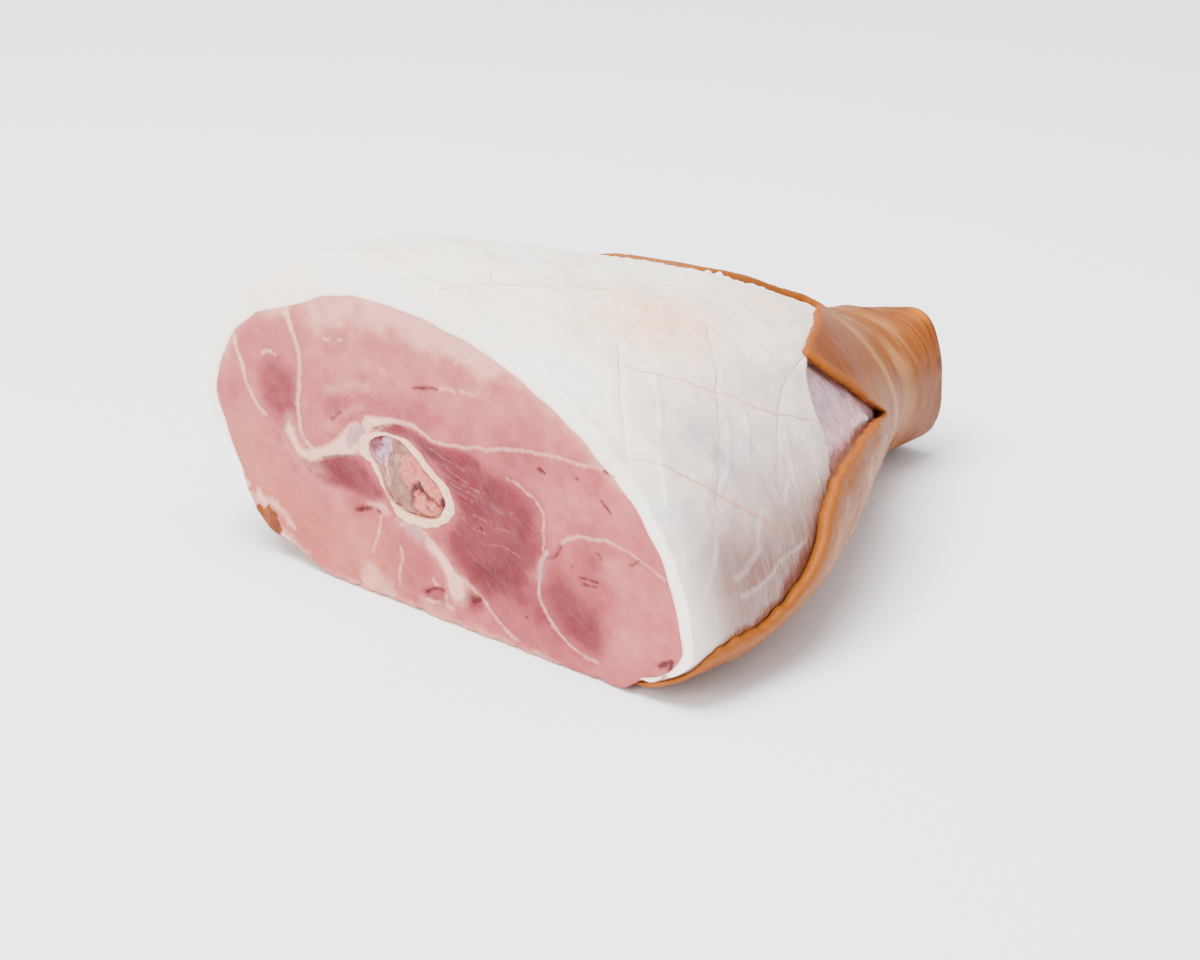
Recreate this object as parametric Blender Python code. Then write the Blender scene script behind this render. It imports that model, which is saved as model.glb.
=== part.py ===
"""A bone-in leg ham, shank half: a sawn leg of ham with the skin taken off its top.

It lies on its flat underside. +X runs from the cut face to the shank, +Z is up.
The origin is on the surface it rests on, under the middle of its bounding box.
"""

import math

import bmesh
import bpy
import numpy as np
from mathutils import Vector

MM = 0.001

# Driving sizes, in metres
LENGTH = 0.270  # from the cut face to the sawn shank
RIND_THICKNESS = 0.0028  # skin left on the shank and the underside
FLAP_LIFT = 0.0045  # extra lift where the skin's free edge curls on the near side
NOTCH_DEPTH = 0.0030  # how far the bare membrane lies below the fat beside the skin's tongue
LEAST_FAT = 0.0012  # fat under the skin on the underside
SHANK_FAT = 0.0045  # fat round the meat at the sawn shank
CLEARANCE = 0.0003  # gap between neighbouring solids

FEMUR_END = 0.158  # depth of the thigh bone from the cut face
FEMUR_MARROW_END = 0.140
SHANK_BONE_START = 0.168
SHANK_BONE_RADII = (0.0150, 0.0125)  # across, high
SHANK_MARROW_RADII = (0.0075, 0.0060)
SHANK_CENTRE = (-0.001, 0.036)  # y, z of the bone in the sawn shank

AROUND = 72  # points round one section
OUTER_ROWS = 34  # rows of faces along the outside
INNER_ROWS = 14  # rows of faces along the meat
BONE_AROUND = 28
SPAN_ROUND = 0.5  # length that stands for once round, to measure distances on the surface
SNAP = 0.30  # a point nearer to a cut line than this share of its edge is moved onto it


class Station:
    """One section across the leg, given by its four outermost points and its flat underside."""

    def __init__(self, along, far, top, near, flat, base, squareness):
        self.along = along  # distance from the cut face
        self.far = far  # outermost point on the far side: y, z
        self.top = top  # highest point: y, z
        self.near = near  # outermost point on the near side: y, z
        self.flat = flat  # the underside's flat run, far end and near end: y, y
        self.base = base  # height of the underside over the skin's lower face
        self.squareness = squareness  # exponents: far top, near top, near bottom, far bottom

    def values(self):
        return np.array([*self.far, *self.top, *self.near, *self.flat, self.base, *self.squareness])


STATIONS = [
    Station(0.000, (0.131, 0.065), (0.034, 0.138), (-0.131, 0.025), (0.039, -0.070), 0.000, (1.85, 1.8, 2.0, 1.85)),
    Station(0.040, (0.130, 0.062), (0.030, 0.134), (-0.131, 0.030), (0.036, -0.074), 0.000, (1.9, 1.8, 2.1, 1.9)),
    Station(0.085, (0.121, 0.058), (0.024, 0.123), (-0.121, 0.036), (0.030, -0.062), 0.000, (1.9, 1.9, 2.0, 2.0)),
    Station(0.130, (0.104, 0.055), (0.014, 0.110), (-0.101, 0.040), (0.022, -0.040), 0.000, (1.9, 1.9, 2.0, 2.0)),
    Station(0.170, (0.081, 0.050), (0.006, 0.097), (-0.077, 0.041), (0.012, -0.026), 0.001, (2.0, 2.0, 2.0, 2.0)),
    Station(0.205, (0.054, 0.043), (0.000, 0.081), (-0.056, 0.038), (0.002, -0.014), 0.002, (2.0, 2.0, 2.0, 2.0)),
    Station(0.235, (0.035, 0.037), (-0.003, 0.065), (-0.040, 0.036), (-0.003, -0.012), 0.003, (2.2, 2.1, 2.1, 2.1)),
    Station(0.270, (0.031, 0.036), (-0.002, 0.061), (-0.035, 0.035), (-0.002, -0.012), 0.003, (2.4, 2.2, 2.1, 2.1)),
]

# White fat at the cut face: share of the way round from the far side over the top, thickness in millimetres
FAT_AT_FACE = [
    (0.000, 6.0), (0.050, 9.0), (0.083, 10.0), (0.111, 15.0), (0.139, 17.0), (0.200, 17.5), (0.250, 15.5),
    (0.290, 13.0), (0.333, 11.0), (0.380, 9.0), (0.417, 7.5), (0.444, 4.8), (0.486, 4.8), (0.530, 6.0),
    (0.552, 4.0), (0.580, 2.0), (0.620, 1.2), (0.930, 1.2), (0.950, 3.0), (0.972, 5.5), (1.000, 6.0),
]

# Outline of the bare fat: distance along, share of the way round. The rest keeps its skin.
BARE_FAT = [
    (-0.010, 0.546), (0.012, 0.546), (0.032, 0.545), (0.052, 0.538), (0.064, 0.526), (0.074, 0.512),
    (0.087, 0.490), (0.105, 0.477), (0.133, 0.471), (0.161, 0.470), (0.190, 0.474), (0.213, 0.474),
    (0.190, 0.456), (0.163, 0.434), (0.150, 0.408), (0.140, 0.384), (0.166, 0.350), (0.197, 0.322),
    (0.220, 0.268), (0.230, 0.212), (0.205, 0.203), (0.180, 0.213), (0.156, 0.205), (0.138, 0.170),
    (0.110, 0.120), (0.070, 0.062), (0.032, 0.016), (-0.010, -0.006),
]

# The part of the bare patch where the fat is gone down to the membrane, from the fat's stepped edge on
NOTCH = [
    (0.139, 0.386), (0.129, 0.411), (0.114, 0.442), (0.107, 0.461), (0.100, 0.480),
    (0.100, 0.530), (0.250, 0.530), (0.250, 0.386),
]

# Lumps and hollows: distance along, share of the way round, radius and height in millimetres
SWELLS = [
    (0.000, 0.945, 24.0, -2.6), (0.050, 0.200, 40.0, 1.4), (0.090, 0.330, 26.0, 1.2), (0.118, 0.400, 20.0, -1.0),
    (0.150, 0.280, 22.0, 1.0), (0.247, 0.276, 9.0, 1.8), (0.268, 0.215, 10.0, 2.6), (0.225, 0.560, 18.0, -1.5),
    (0.190, 0.100, 22.0, 1.4), (0.252, 0.900, 14.0, 1.2),
]

# Thigh bone and its marrow as they show in the cut face, round from the far top: y, z in millimetres
FEMUR_OUTLINE = [
    (42, 59), (39, 64), (33, 67), (25, 69), (14, 68), (4, 63), (-3, 57), (-9, 53), (-11, 47), (-8, 41),
    (1, 37), (12, 35), (20, 36), (26, 42), (31, 50), (36, 55),
]
MARROW_OUTLINE = [
    (36.5, 60.5), (32.5, 63), (26, 65.5), (18, 64.5), (9, 61), (1, 55.5), (-3.5, 50), (-3.5, 45), (2, 41.5), (12, 39.5),
    (18, 40.5), (22, 45), (26.5, 52), (31.5, 56.5),
]


def blend_stations(along):
    """The section's values at a distance from the cut face, on a smooth curve through the stations."""
    at = [s.along for s in STATIONS]
    table = np.array([s.values() for s in STATIONS])
    k = int(np.clip(np.searchsorted(at, along) - 1, 0, len(at) - 2))
    before, after = max(k - 1, 0), min(k + 2, len(at) - 1)
    span = at[k + 1] - at[k]
    t = (along - at[k]) / span
    slope_a = (table[k + 1] - table[before]) / (at[k + 1] - at[before]) * span
    slope_b = (table[after] - table[k]) / (at[after] - at[k]) * span
    return ((2 * t**3 - 3 * t**2 + 1) * table[k] + (t**3 - 2 * t**2 + t) * slope_a
            + (3 * t**2 - 2 * t**3) * table[k + 1] + (t**3 - t**2) * slope_b)


def quarter(start, end, centre, power, share):
    """A point on a quarter of a squared-off oval, from start to end round a centre."""
    turn = share * math.pi / 2
    a = abs(math.cos(turn)) ** (2 / power)
    b = abs(math.sin(turn)) ** (2 / power)
    return centre + (start - centre) * a + (end - centre) * b


def section(along):
    """Evenly spaced points round the leg under its skin, from the far side over the top: y, z."""
    v = blend_stations(along)
    far, top, near = v[0:2], v[2:4], v[4:6]
    base = max(v[8], 0.0) + RIND_THICKNESS
    flat_far, flat_near = np.array([v[6], base]), np.array([v[7], base])
    shares = np.arange(60) / 60
    dense = [quarter(far, top, np.array([top[0], far[1]]), v[9], s) for s in shares]
    dense += [quarter(top, near, np.array([top[0], near[1]]), v[10], s) for s in shares]
    dense += [quarter(near, flat_near, np.array([flat_near[0], near[1]]), v[11], s) for s in shares]
    dense += [flat_near + (flat_far - flat_near) * s for s in np.arange(20) / 20]
    dense += [quarter(flat_far, far, np.array([flat_far[0], far[1]]), v[12], s) for s in shares]
    loop = np.array(dense + dense[:1])
    travelled = np.concatenate([[0.0], np.cumsum(np.hypot(*np.diff(loop, axis=0).T))])
    wanted = np.linspace(0, travelled[-1], AROUND, endpoint=False)
    even = np.stack([np.interp(wanted, travelled, loop[:, 0]), np.interp(wanted, travelled, loop[:, 1])], 1)
    return inset(even, -swell(along, travelled[-1]))


def swell(along, girth):
    """Height of the lumps and hollows at each point round a section, away from the flat underside."""
    share = np.arange(AROUND) / AROUND
    height = np.zeros(AROUND)
    for at, around, radius, rise in SWELLS:
        turn = (share - around + 0.5) % 1.0 - 0.5
        away = np.hypot((along - at) / MM, turn * girth / MM)
        height += rise * MM * np.exp(-(away / radius) ** 2)
    height[(share > 0.60) & (share < 0.86)] = 0.0
    return height


def fat_thickness(along):
    """Thickness of the fat at each point round the section."""
    shares, sizes = zip(*FAT_AT_FACE)
    at_face = np.interp(np.arange(AROUND) / AROUND, shares, sizes) * MM
    blend = min(along / 0.21, 1.0)
    blend = blend * blend * (3 - 2 * blend)
    return at_face + (SHANK_FAT - at_face) * blend


def inset(points, distances):
    """Points of a ring moved inwards, each square to the ring."""
    run = np.roll(points, -1, 0) - np.roll(points, 1, 0)
    inward = np.stack([-run[:, 1], run[:, 0]], 1)
    inward /= np.hypot(*inward.T)[:, None]
    if np.sum(inward * (points.mean(0) - points)) < 0:
        inward = -inward
    return points + inward * np.reshape(distances, (-1, 1))


def meat_ring(along, gap):
    """The ring between fat and meat at a distance from the cut face, less a gap."""
    row = along / LENGTH * INNER_ROWS
    low = min(int(row + 1e-6), INNER_ROWS - 1)
    stops = [LENGTH * low / INNER_ROWS, LENGTH * (low + 1) / INNER_ROWS]
    first, second = [inset(section(a), fat_thickness(a)) for a in stops]
    ring = first + (second - first) * (row - low)
    return inset(ring, gap) if gap else ring


def distance_inside(place, corners):
    """How far a place on the surface lies inside an outline, in metres; below zero outside it."""
    point = np.array([place[0], place[1] * SPAN_ROUND])
    if place[1] > 0.75:
        point[1] -= SPAN_ROUND
    start = np.array(corners) * [1.0, SPAN_ROUND]
    end = np.roll(start, -1, 0)
    run = end - start
    share = np.clip(np.sum((point - start) * run, 1) / np.sum(run * run, 1), 0, 1)
    nearest = np.min(np.hypot(*(start + run * share[:, None] - point).T))
    crosses = (start[:, 1] > point[1]) != (end[:, 1] > point[1])
    at = start[crosses, 0] + (point[1] - start[crosses, 1]) / run[crosses, 1] * run[crosses, 0]
    return nearest if np.sum(at > point[0]) % 2 else -nearest


class Skin:
    """The leg's outside as a mesh whose points know their place on it and which way is out."""

    def __init__(self):
        self.mesh = bmesh.new()
        self.place = self.mesh.verts.layers.float_vector.new("place")
        self.outward = self.mesh.verts.layers.float_vector.new("outward")
        self.rows = []
        for i in range(OUTER_ROWS + 1):
            along = LENGTH * i / OUTER_ROWS
            row = [self.mesh.verts.new((along, y, z)) for y, z in section(along)]
            for j, vert in enumerate(row):
                vert[self.place] = (along, j / AROUND, 0.0)
            self.rows.append(row)
        join_rings(self.mesh, self.rows)
        self.mesh.normal_update()
        centre = Vector((LENGTH / 2, 0.0, 0.05))
        face = next(iter(self.mesh.faces))
        side = 1.0 if face.normal.dot(face.calc_center_median() - centre) > 0 else -1.0
        for vert in self.mesh.verts:
            out = vert.normal * side
            if vert.is_boundary:
                out.x = 0.0
                out.normalize()
            vert[self.outward] = out

    def cut_along(self, corners, usable):
        """Makes edges follow an outline, where every point of an edge is usable."""
        value = {v: distance_inside(v[self.place], corners) for v in self.mesh.verts}
        crossing = []
        for edge in self.mesh.edges:
            a, b = edge.verts
            if value[a] * value[b] < 0 and usable(a) and usable(b):
                crossing.append(edge)
        moves = {}
        for edge in crossing:
            a, b = edge.verts
            share = value[a] / (value[a] - value[b])
            limit = 0.51 if edge.is_boundary else SNAP
            for vert, other, part in ((a, b, share), (b, a, 1 - share)):
                free = edge.is_boundary or not vert.is_boundary
                if free and part < limit and part < moves.get(vert, (1.0,))[0]:
                    moves[vert] = (part, other.co.copy(), Vector(other[self.place]))
        for vert, (part, target, place) in moves.items():
            vert.co = vert.co.lerp(target, part)
            vert[self.place] = Vector(vert[self.place]).lerp(place, part)
            value[vert] = 0.0
        for edge in crossing:
            a, b = edge.verts
            if value[a] * value[b] >= 0:
                continue
            share = value[a] / (value[a] - value[b])
            place = Vector(a[self.place]).lerp(Vector(b[self.place]), share)
            out = Vector(a[self.outward]).lerp(Vector(b[self.outward]), share).normalized()
            _, made = bmesh.utils.edge_split(edge, a, share)
            made[self.place] = place
            made[self.outward] = out
            value[made] = 0.0
        bmesh.ops.connect_verts(self.mesh, verts=[v for v in self.mesh.verts if value.get(v) == 0.0])

    def faces_inside(self, corners, wanted=True):
        """Faces whose middle lies inside an outline, or outside it."""
        found = []
        for face in self.mesh.faces:
            places = [Vector(v[self.place]) for v in face.verts]
            if max(p.y for p in places) - min(p.y for p in places) > 0.5:
                middle = Vector((places[0].x, 0.99, 0.0))
            else:
                middle = sum(places, Vector()) / len(places)
            if (distance_inside(middle, corners) > 0) == wanted:
                found.append(face)
        return found

    def lift(self, faces, height):
        """Raises a patch of faces off the surface, with a wall all round it."""
        made = bmesh.ops.extrude_face_region(self.mesh, geom=faces)["geom"]
        for item in made:
            if isinstance(item, bmesh.types.BMVert):
                item.co += Vector(item[self.outward]) * height(item[self.place])
        covered = [f for f in faces if f.is_valid]
        bmesh.ops.delete(self.mesh, geom=covered, context="FACES")


def rind_height(place):
    """How far the skin stands off the fat: more at its free edge on the near side."""
    along, share, _ = place
    edge = abs(distance_inside(place, BARE_FAT)) / MM
    near = math.exp(-((share - 0.515) / 0.055) ** 2) * math.exp(-((along - 0.085) / 0.075) ** 2)
    return RIND_THICKNESS + FLAP_LIFT * near * math.exp(-(edge / 13.0) ** 2)


def join_rings(mesh, rings, split=False):
    """Faces between rings of points, each ring to the next, split the same way on every body if asked."""
    for first, second in zip(rings, rings[1:]):
        count = len(first)
        for j in range(count):
            k = (j + 1) % count
            if split:
                mesh.faces.new((first[j], first[k], second[k]))
                mesh.faces.new((first[j], second[k], second[j]))
            else:
                mesh.faces.new((first[j], first[k], second[k], second[j]))


def add_ring(mesh, along, points):
    """A ring of points at a distance from the cut face."""
    return [mesh.verts.new((along, y, z)) for y, z in points]


def smooth_outline(points, centre):
    """An outline in millimetres as even turns round a centre, in metres from that centre."""
    spokes = np.array(points) * MM - centre
    turn = np.arctan2(spokes[:, 1], spokes[:, 0])
    order = np.argsort(turn)
    turn, reach = turn[order], np.hypot(*spokes[order].T)
    wanted = np.arange(BONE_AROUND) / BONE_AROUND * 2 * math.pi - math.pi
    lengths = np.interp(wanted, turn, reach, period=2 * math.pi)
    for _ in range(2):
        lengths = lengths / 2 + (np.roll(lengths, 1) + np.roll(lengths, -1)) / 4
    return np.stack([lengths * np.cos(wanted), lengths * np.sin(wanted)], 1)


def oval(across, high):
    """An oval round the origin, with its points at the same turns as the outlines."""
    turn = np.arange(BONE_AROUND) / BONE_AROUND * 2 * math.pi - math.pi
    return np.stack([across * np.cos(turn), high * np.sin(turn)], 1)


def femur_ring(along, outline, radius, gap):
    """A ring of the thigh bone: as it shows at the cut face, rounder further in."""
    centre = np.array([0.014, 0.052])
    shape = smooth_outline(outline, centre)
    blend = min(along / 0.060, 1.0)
    blend = blend * blend * (3 - 2 * blend)
    shape = shape * (1 - blend) + oval(radius, radius) * blend
    if gap:
        shape = inset(shape, np.full(BONE_AROUND, -1.25 * gap))
    drift = np.array([-0.010, -0.010]) * (along / FEMUR_END)
    return shape + centre + drift


def solid(name, outer, inner=()):
    """A closed body from rings of (along, points). The inner rings line a hollow open at the first ring."""
    mesh = bmesh.new()
    skin = [add_ring(mesh, along, points) for along, points in outer]
    join_rings(mesh, skin, True)
    mesh.faces.new(skin[-1])
    if inner:
        lining = [add_ring(mesh, along, points) for along, points in inner]
        join_rings(mesh, lining, True)
        join_rings(mesh, [skin[0], lining[0]])
        mesh.faces.new(lining[-1])
    else:
        mesh.faces.new(skin[0])
    return finish(name, mesh)


def finish(name, mesh):
    """Turns a mesh's faces outwards and makes an object of it."""
    bmesh.ops.recalc_face_normals(mesh, faces=mesh.faces)
    data = bpy.data.meshes.new(name)
    mesh.to_mesh(data)
    mesh.free()
    return bpy.data.objects.new(name, data)


def fat_and_rind():
    """The sleeve of fat round the meat, with its skin in relief where it's left on."""
    skin = Skin()
    skin.cut_along(BARE_FAT, lambda v: True)
    bare = lambda v: distance_inside(v[skin.place], BARE_FAT) > -1.5 * MM
    skin.cut_along(NOTCH, bare)
    notch = [f for f in skin.faces_inside(NOTCH) if f in set(skin.faces_inside(BARE_FAT))]
    skin.lift(skin.faces_inside(BARE_FAT, False), rind_height)
    skin.lift(notch, lambda place: -NOTCH_DEPTH)
    mesh = skin.mesh
    lining = []
    for i in range(INNER_ROWS + 1):
        along = LENGTH * i / INNER_ROWS
        lining.append(add_ring(mesh, along, meat_ring(along, 0.0)))
    join_rings(mesh, lining, True)
    join_rings(mesh, [skin.rows[0], lining[0]])
    join_rings(mesh, [skin.rows[-1], lining[-1]])
    return finish("fat_and_rind", mesh)


def lean_meat(cutters):
    """The meat inside the fat, hollowed for the two bones."""
    stops = [LENGTH * i / INNER_ROWS for i in range(INNER_ROWS)] + [LENGTH - 2.0 * MM]
    body = solid("lean_meat", [(a, meat_ring(a, CLEARANCE * 1.4)) for a in stops])
    for cutter in cutters:
        cut = body.modifiers.new(cutter.name, "BOOLEAN")
        cut.operation = "DIFFERENCE"
        cut.solver = "EXACT"
        cut.object = cutter
    return body


def femur_rings(outline, radius, end, gap, start=0.0):
    """Rings of the thigh bone from the cut face to a depth."""
    stops = [0.0, 0.015, 0.030, 0.045, 0.060, 0.100, end]
    rings = [(a, femur_ring(a, outline, radius, gap)) for a in stops]
    rings[0] = (start, rings[0][1])
    return rings


def shank_rings(radii, end, start, gap):
    """Rings of the shank bone from the sawn shank inwards to a depth."""
    centre = np.array(SHANK_CENTRE)
    shape = oval(radii[0] + gap, radii[1] + gap)
    knee = centre + [0.003, 0.006]
    middle = (start + end) / 2
    return [(start, shape + centre), (middle, shape + (centre + knee) / 2), (end, shape + knee)]


def linear(code):
    """A colour code as linear values."""
    channels = [int(code[i:i + 2], 16) / 255 for i in (1, 3, 5)]
    return [c / 12.92 if c <= 0.04045 else ((c + 0.055) / 1.055) ** 2.4 for c in channels] + [1.0]


def give_material(body, name, code, roughness):
    """One plain material for a solid."""
    material = bpy.data.materials.new(name)
    material.use_nodes = True
    shader = material.node_tree.nodes["Principled BSDF"]
    shader.inputs["Base Color"].default_value = linear(code)
    shader.inputs["Roughness"].default_value = roughness
    body.data.materials.append(material)


def collection(name):
    """A new collection in the scene."""
    made = bpy.data.collections.new(name)
    bpy.context.scene.collection.children.link(made)
    return made


def build():
    """Makes every solid of the ham and puts the set over the origin."""
    for old in list(bpy.data.objects):
        bpy.data.objects.remove(old, do_unlink=True)
    ham = collection("bone_in_leg_ham")
    tools = collection("cutters")

    end = LENGTH - 0.5 * MM
    femur_cutter = solid("femur_cutter", femur_rings(FEMUR_OUTLINE, 0.0150, FEMUR_END + CLEARANCE, CLEARANCE, -MM))
    shank_cutter = solid("shank_bone_cutter", shank_rings(
        SHANK_BONE_RADII, SHANK_BONE_START - CLEARANCE, LENGTH + MM, CLEARANCE))
    sleeve = fat_and_rind()
    meat = lean_meat([femur_cutter, shank_cutter])
    femur = solid("femur", femur_rings(FEMUR_OUTLINE, 0.0150, FEMUR_END, 0.0),
                  femur_rings(MARROW_OUTLINE, 0.0085, FEMUR_MARROW_END, 0.0))
    marrow = solid("femur_marrow", femur_rings(
        MARROW_OUTLINE, 0.0085, FEMUR_MARROW_END - CLEARANCE, -CLEARANCE, 0.4 * MM))
    shank = solid("shank_bone", shank_rings(SHANK_BONE_RADII, SHANK_BONE_START, end, 0.0),
                  shank_rings(SHANK_MARROW_RADII, SHANK_BONE_START + 10 * MM, end, 0.0))
    core = solid("shank_marrow", shank_rings(
        SHANK_MARROW_RADII, SHANK_BONE_START + 10.3 * MM, end - MM, -CLEARANCE))

    give_material(sleeve, "ham_fat", "#EBDDD2", 0.45)
    give_material(meat, "lean_ham", "#CF8F92", 0.42)
    give_material(femur, "leg_bone", "#E9D9C6", 0.5)
    give_material(marrow, "marrow", "#C99A8C", 0.5)
    give_material(shank, "sawn_shank_bone", "#E4D3BF", 0.5)
    give_material(core, "shank_bone_marrow", "#B98274", 0.5)

    corners = np.array([v.co for v in sleeve.data.vertices])
    middle = (corners.min(0) + corners.max(0)) / 2
    for body in (sleeve, meat, femur, marrow, shank, core):
        ham.objects.link(body)
    for cutter in (femur_cutter, shank_cutter):
        tools.objects.link(cutter)
        cutter.hide_render = True
        cutter.display_type = "WIRE"
    for body in list(ham.objects) + list(tools.objects):
        for vert in body.data.vertices:
            vert.co.x -= middle[0]
            vert.co.y -= middle[1]
            if abs(vert.co.z) < 0.00002:
                vert.co.z = 0.0


build()
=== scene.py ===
from functools import partial
import math

import bmesh
import bpy
import numpy as np
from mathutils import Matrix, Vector


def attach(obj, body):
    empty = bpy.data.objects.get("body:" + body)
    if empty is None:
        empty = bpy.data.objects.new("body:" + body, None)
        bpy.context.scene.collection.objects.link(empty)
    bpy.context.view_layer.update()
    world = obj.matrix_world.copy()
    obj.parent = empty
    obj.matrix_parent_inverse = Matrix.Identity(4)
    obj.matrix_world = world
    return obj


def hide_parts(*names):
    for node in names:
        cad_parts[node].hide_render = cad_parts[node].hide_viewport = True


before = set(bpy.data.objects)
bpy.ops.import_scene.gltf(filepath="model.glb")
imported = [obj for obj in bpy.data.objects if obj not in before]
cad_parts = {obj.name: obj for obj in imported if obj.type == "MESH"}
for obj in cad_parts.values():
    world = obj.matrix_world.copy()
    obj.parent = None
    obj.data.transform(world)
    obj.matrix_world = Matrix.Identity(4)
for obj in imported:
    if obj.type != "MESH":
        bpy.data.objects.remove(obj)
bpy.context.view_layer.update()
mm = 0.001


# the leg's own form, in metres, as the solids have it: x from the cut face, then y and z
leg = {
    "length": 0.270,
    "skinThick": 0.0028,
    "middle": (-0.135, 0.00052),  # moves the form over the origin
    # distance, far y z, top y z, near y z, flat underside far and near y, base z, four squareness values
    "stations": [
        (0.000, 0.131, 0.065, 0.034, 0.138, -0.131, 0.025, 0.039, -0.070, 0.000, 1.85, 1.8, 2.0, 1.85),
        (0.040, 0.130, 0.062, 0.030, 0.134, -0.131, 0.030, 0.036, -0.074, 0.000, 1.9, 1.8, 2.1, 1.9),
        (0.085, 0.121, 0.058, 0.024, 0.123, -0.121, 0.036, 0.030, -0.062, 0.000, 1.9, 1.9, 2.0, 2.0),
        (0.130, 0.104, 0.055, 0.014, 0.110, -0.101, 0.040, 0.022, -0.040, 0.000, 1.9, 1.9, 2.0, 2.0),
        (0.170, 0.081, 0.050, 0.006, 0.097, -0.077, 0.041, 0.012, -0.026, 0.001, 2.0, 2.0, 2.0, 2.0),
        (0.205, 0.054, 0.043, 0.000, 0.081, -0.056, 0.038, 0.002, -0.014, 0.002, 2.0, 2.0, 2.0, 2.0),
        (0.235, 0.035, 0.037, -0.003, 0.065, -0.040, 0.036, -0.003, -0.012, 0.003, 2.2, 2.1, 2.1, 2.1),
        (0.270, 0.031, 0.036, -0.002, 0.061, -0.035, 0.035, -0.002, -0.012, 0.003, 2.4, 2.2, 2.1, 2.1),
    ],
    # lumps and hollows: distance, share of the way round, radius and height in mm
    "swells": [
        (0.000, 0.945, 24.0, -2.6), (0.050, 0.200, 40.0, 1.4), (0.090, 0.330, 26.0, 1.2),
        (0.118, 0.400, 20.0, -1.0),
        (0.150, 0.280, 22.0, 1.0), (0.252, 0.240, 26.0, -1.8), (0.254, 0.256, 6.0, 1.0),
        (0.270, 0.180, 14.0, -3.6),
        (0.225, 0.560, 18.0, -1.5), (0.270, 0.342, 9.0, 5.0), (0.270, 0.480, 14.0, -2.8),
        (0.000, 0.110, 22.0, -2.8), (0.158, 0.215, 18.0, -1.6), (0.000, 0.900, 19.0, 4.2),
        (0.190, 0.100, 22.0, 1.4), (0.252, 0.900, 14.0, 1.2),
    ],
    # white fat at the cut face: share of the way round from the far side over the top, thickness in mm
    "fatThick": [
        (0.000, 6.0), (0.050, 9.0), (0.083, 10.0), (0.111, 14.0), (0.139, 16.6), (0.200, 17.5), (0.250, 15.5),
        (0.290, 13.0), (0.333, 11.0), (0.380, 9.0), (0.417, 7.5), (0.444, 5.4), (0.486, 5.2), (0.530, 5.6),
        (0.552, 3.5), (0.580, 0.8), (0.620, -0.9), (0.930, -0.9), (0.950, 1.6), (0.972, 4.8), (1.000, 6.0),
    ],
    "shankFat": 4.5,
}


# smooth uneven field of about one wave size, from many waves in random directions
def ripples(points, size, seed, waves=16):
    rng = np.random.default_rng(seed)
    direction = rng.normal(size=(waves, points.shape[1]))
    direction /= np.linalg.norm(direction, axis=1)[:, None]
    direction *= (2 * math.pi / size * rng.uniform(0.6, 1.5, waves))[:, None]
    phase = rng.uniform(0, 2 * math.pi, waves)
    total = np.zeros(len(points))
    for way, start in zip(direction, phase):
        total += np.sin(points @ way + start)
    return total / math.sqrt(waves / 2)


# 0 below low, 1 above high, smooth between
def easeStep(value, low, high):
    t = np.clip((value - low) / (high - low), 0, 1)
    return t * t * (3 - 2 * t)


# 1 at the middle and nearly gone two widths away
def hump(value, middle, width):
    return np.exp(-((value - middle) / width) ** 2)


# 1 inside a line or an area whose distance is given, and fading outside
def fade(distance, width):
    return hump(np.maximum(distance, 0), 0, width)


def unitRing(count):
    turn = np.arange(count) / count * 2 * math.pi
    return np.stack([np.cos(turn), np.sin(turn)], 1)


# at each point of a closed outline, the direction across it
def acrossRing(points):
    run = np.roll(points, -1, 0) - np.roll(points, 1, 0)
    return np.stack([-run[:, 1], run[:, 0]], 1) / np.hypot(*run.T)[:, None]


# the outline moved inward by one distance, or by one at each point
def insetRing(points, distance):
    inward = acrossRing(points)
    if np.sum(inward * (points.mean(0) - points)) < 0:
        inward = -inward
    return points + inward * np.reshape(distance, (-1, 1))


# a closed outline in even steps, and its length
def evenRing(loop, count):
    loop = np.concatenate([loop, loop[:1]])
    gone = np.concatenate([[0.0], np.cumsum(np.hypot(*np.diff(loop, axis=0).T))])
    at = np.linspace(0, gone[-1], count, endpoint=False)
    return np.stack([np.interp(at, gone, loop[:, k]) for k in (0, 1)], 1), gone[-1]


# a path with small random bends
def unsteady(line, size, seed):
    return line + np.stack([ripples(line, size, seed), ripples(line, size, seed + 1)], 1) * 0.22


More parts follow.
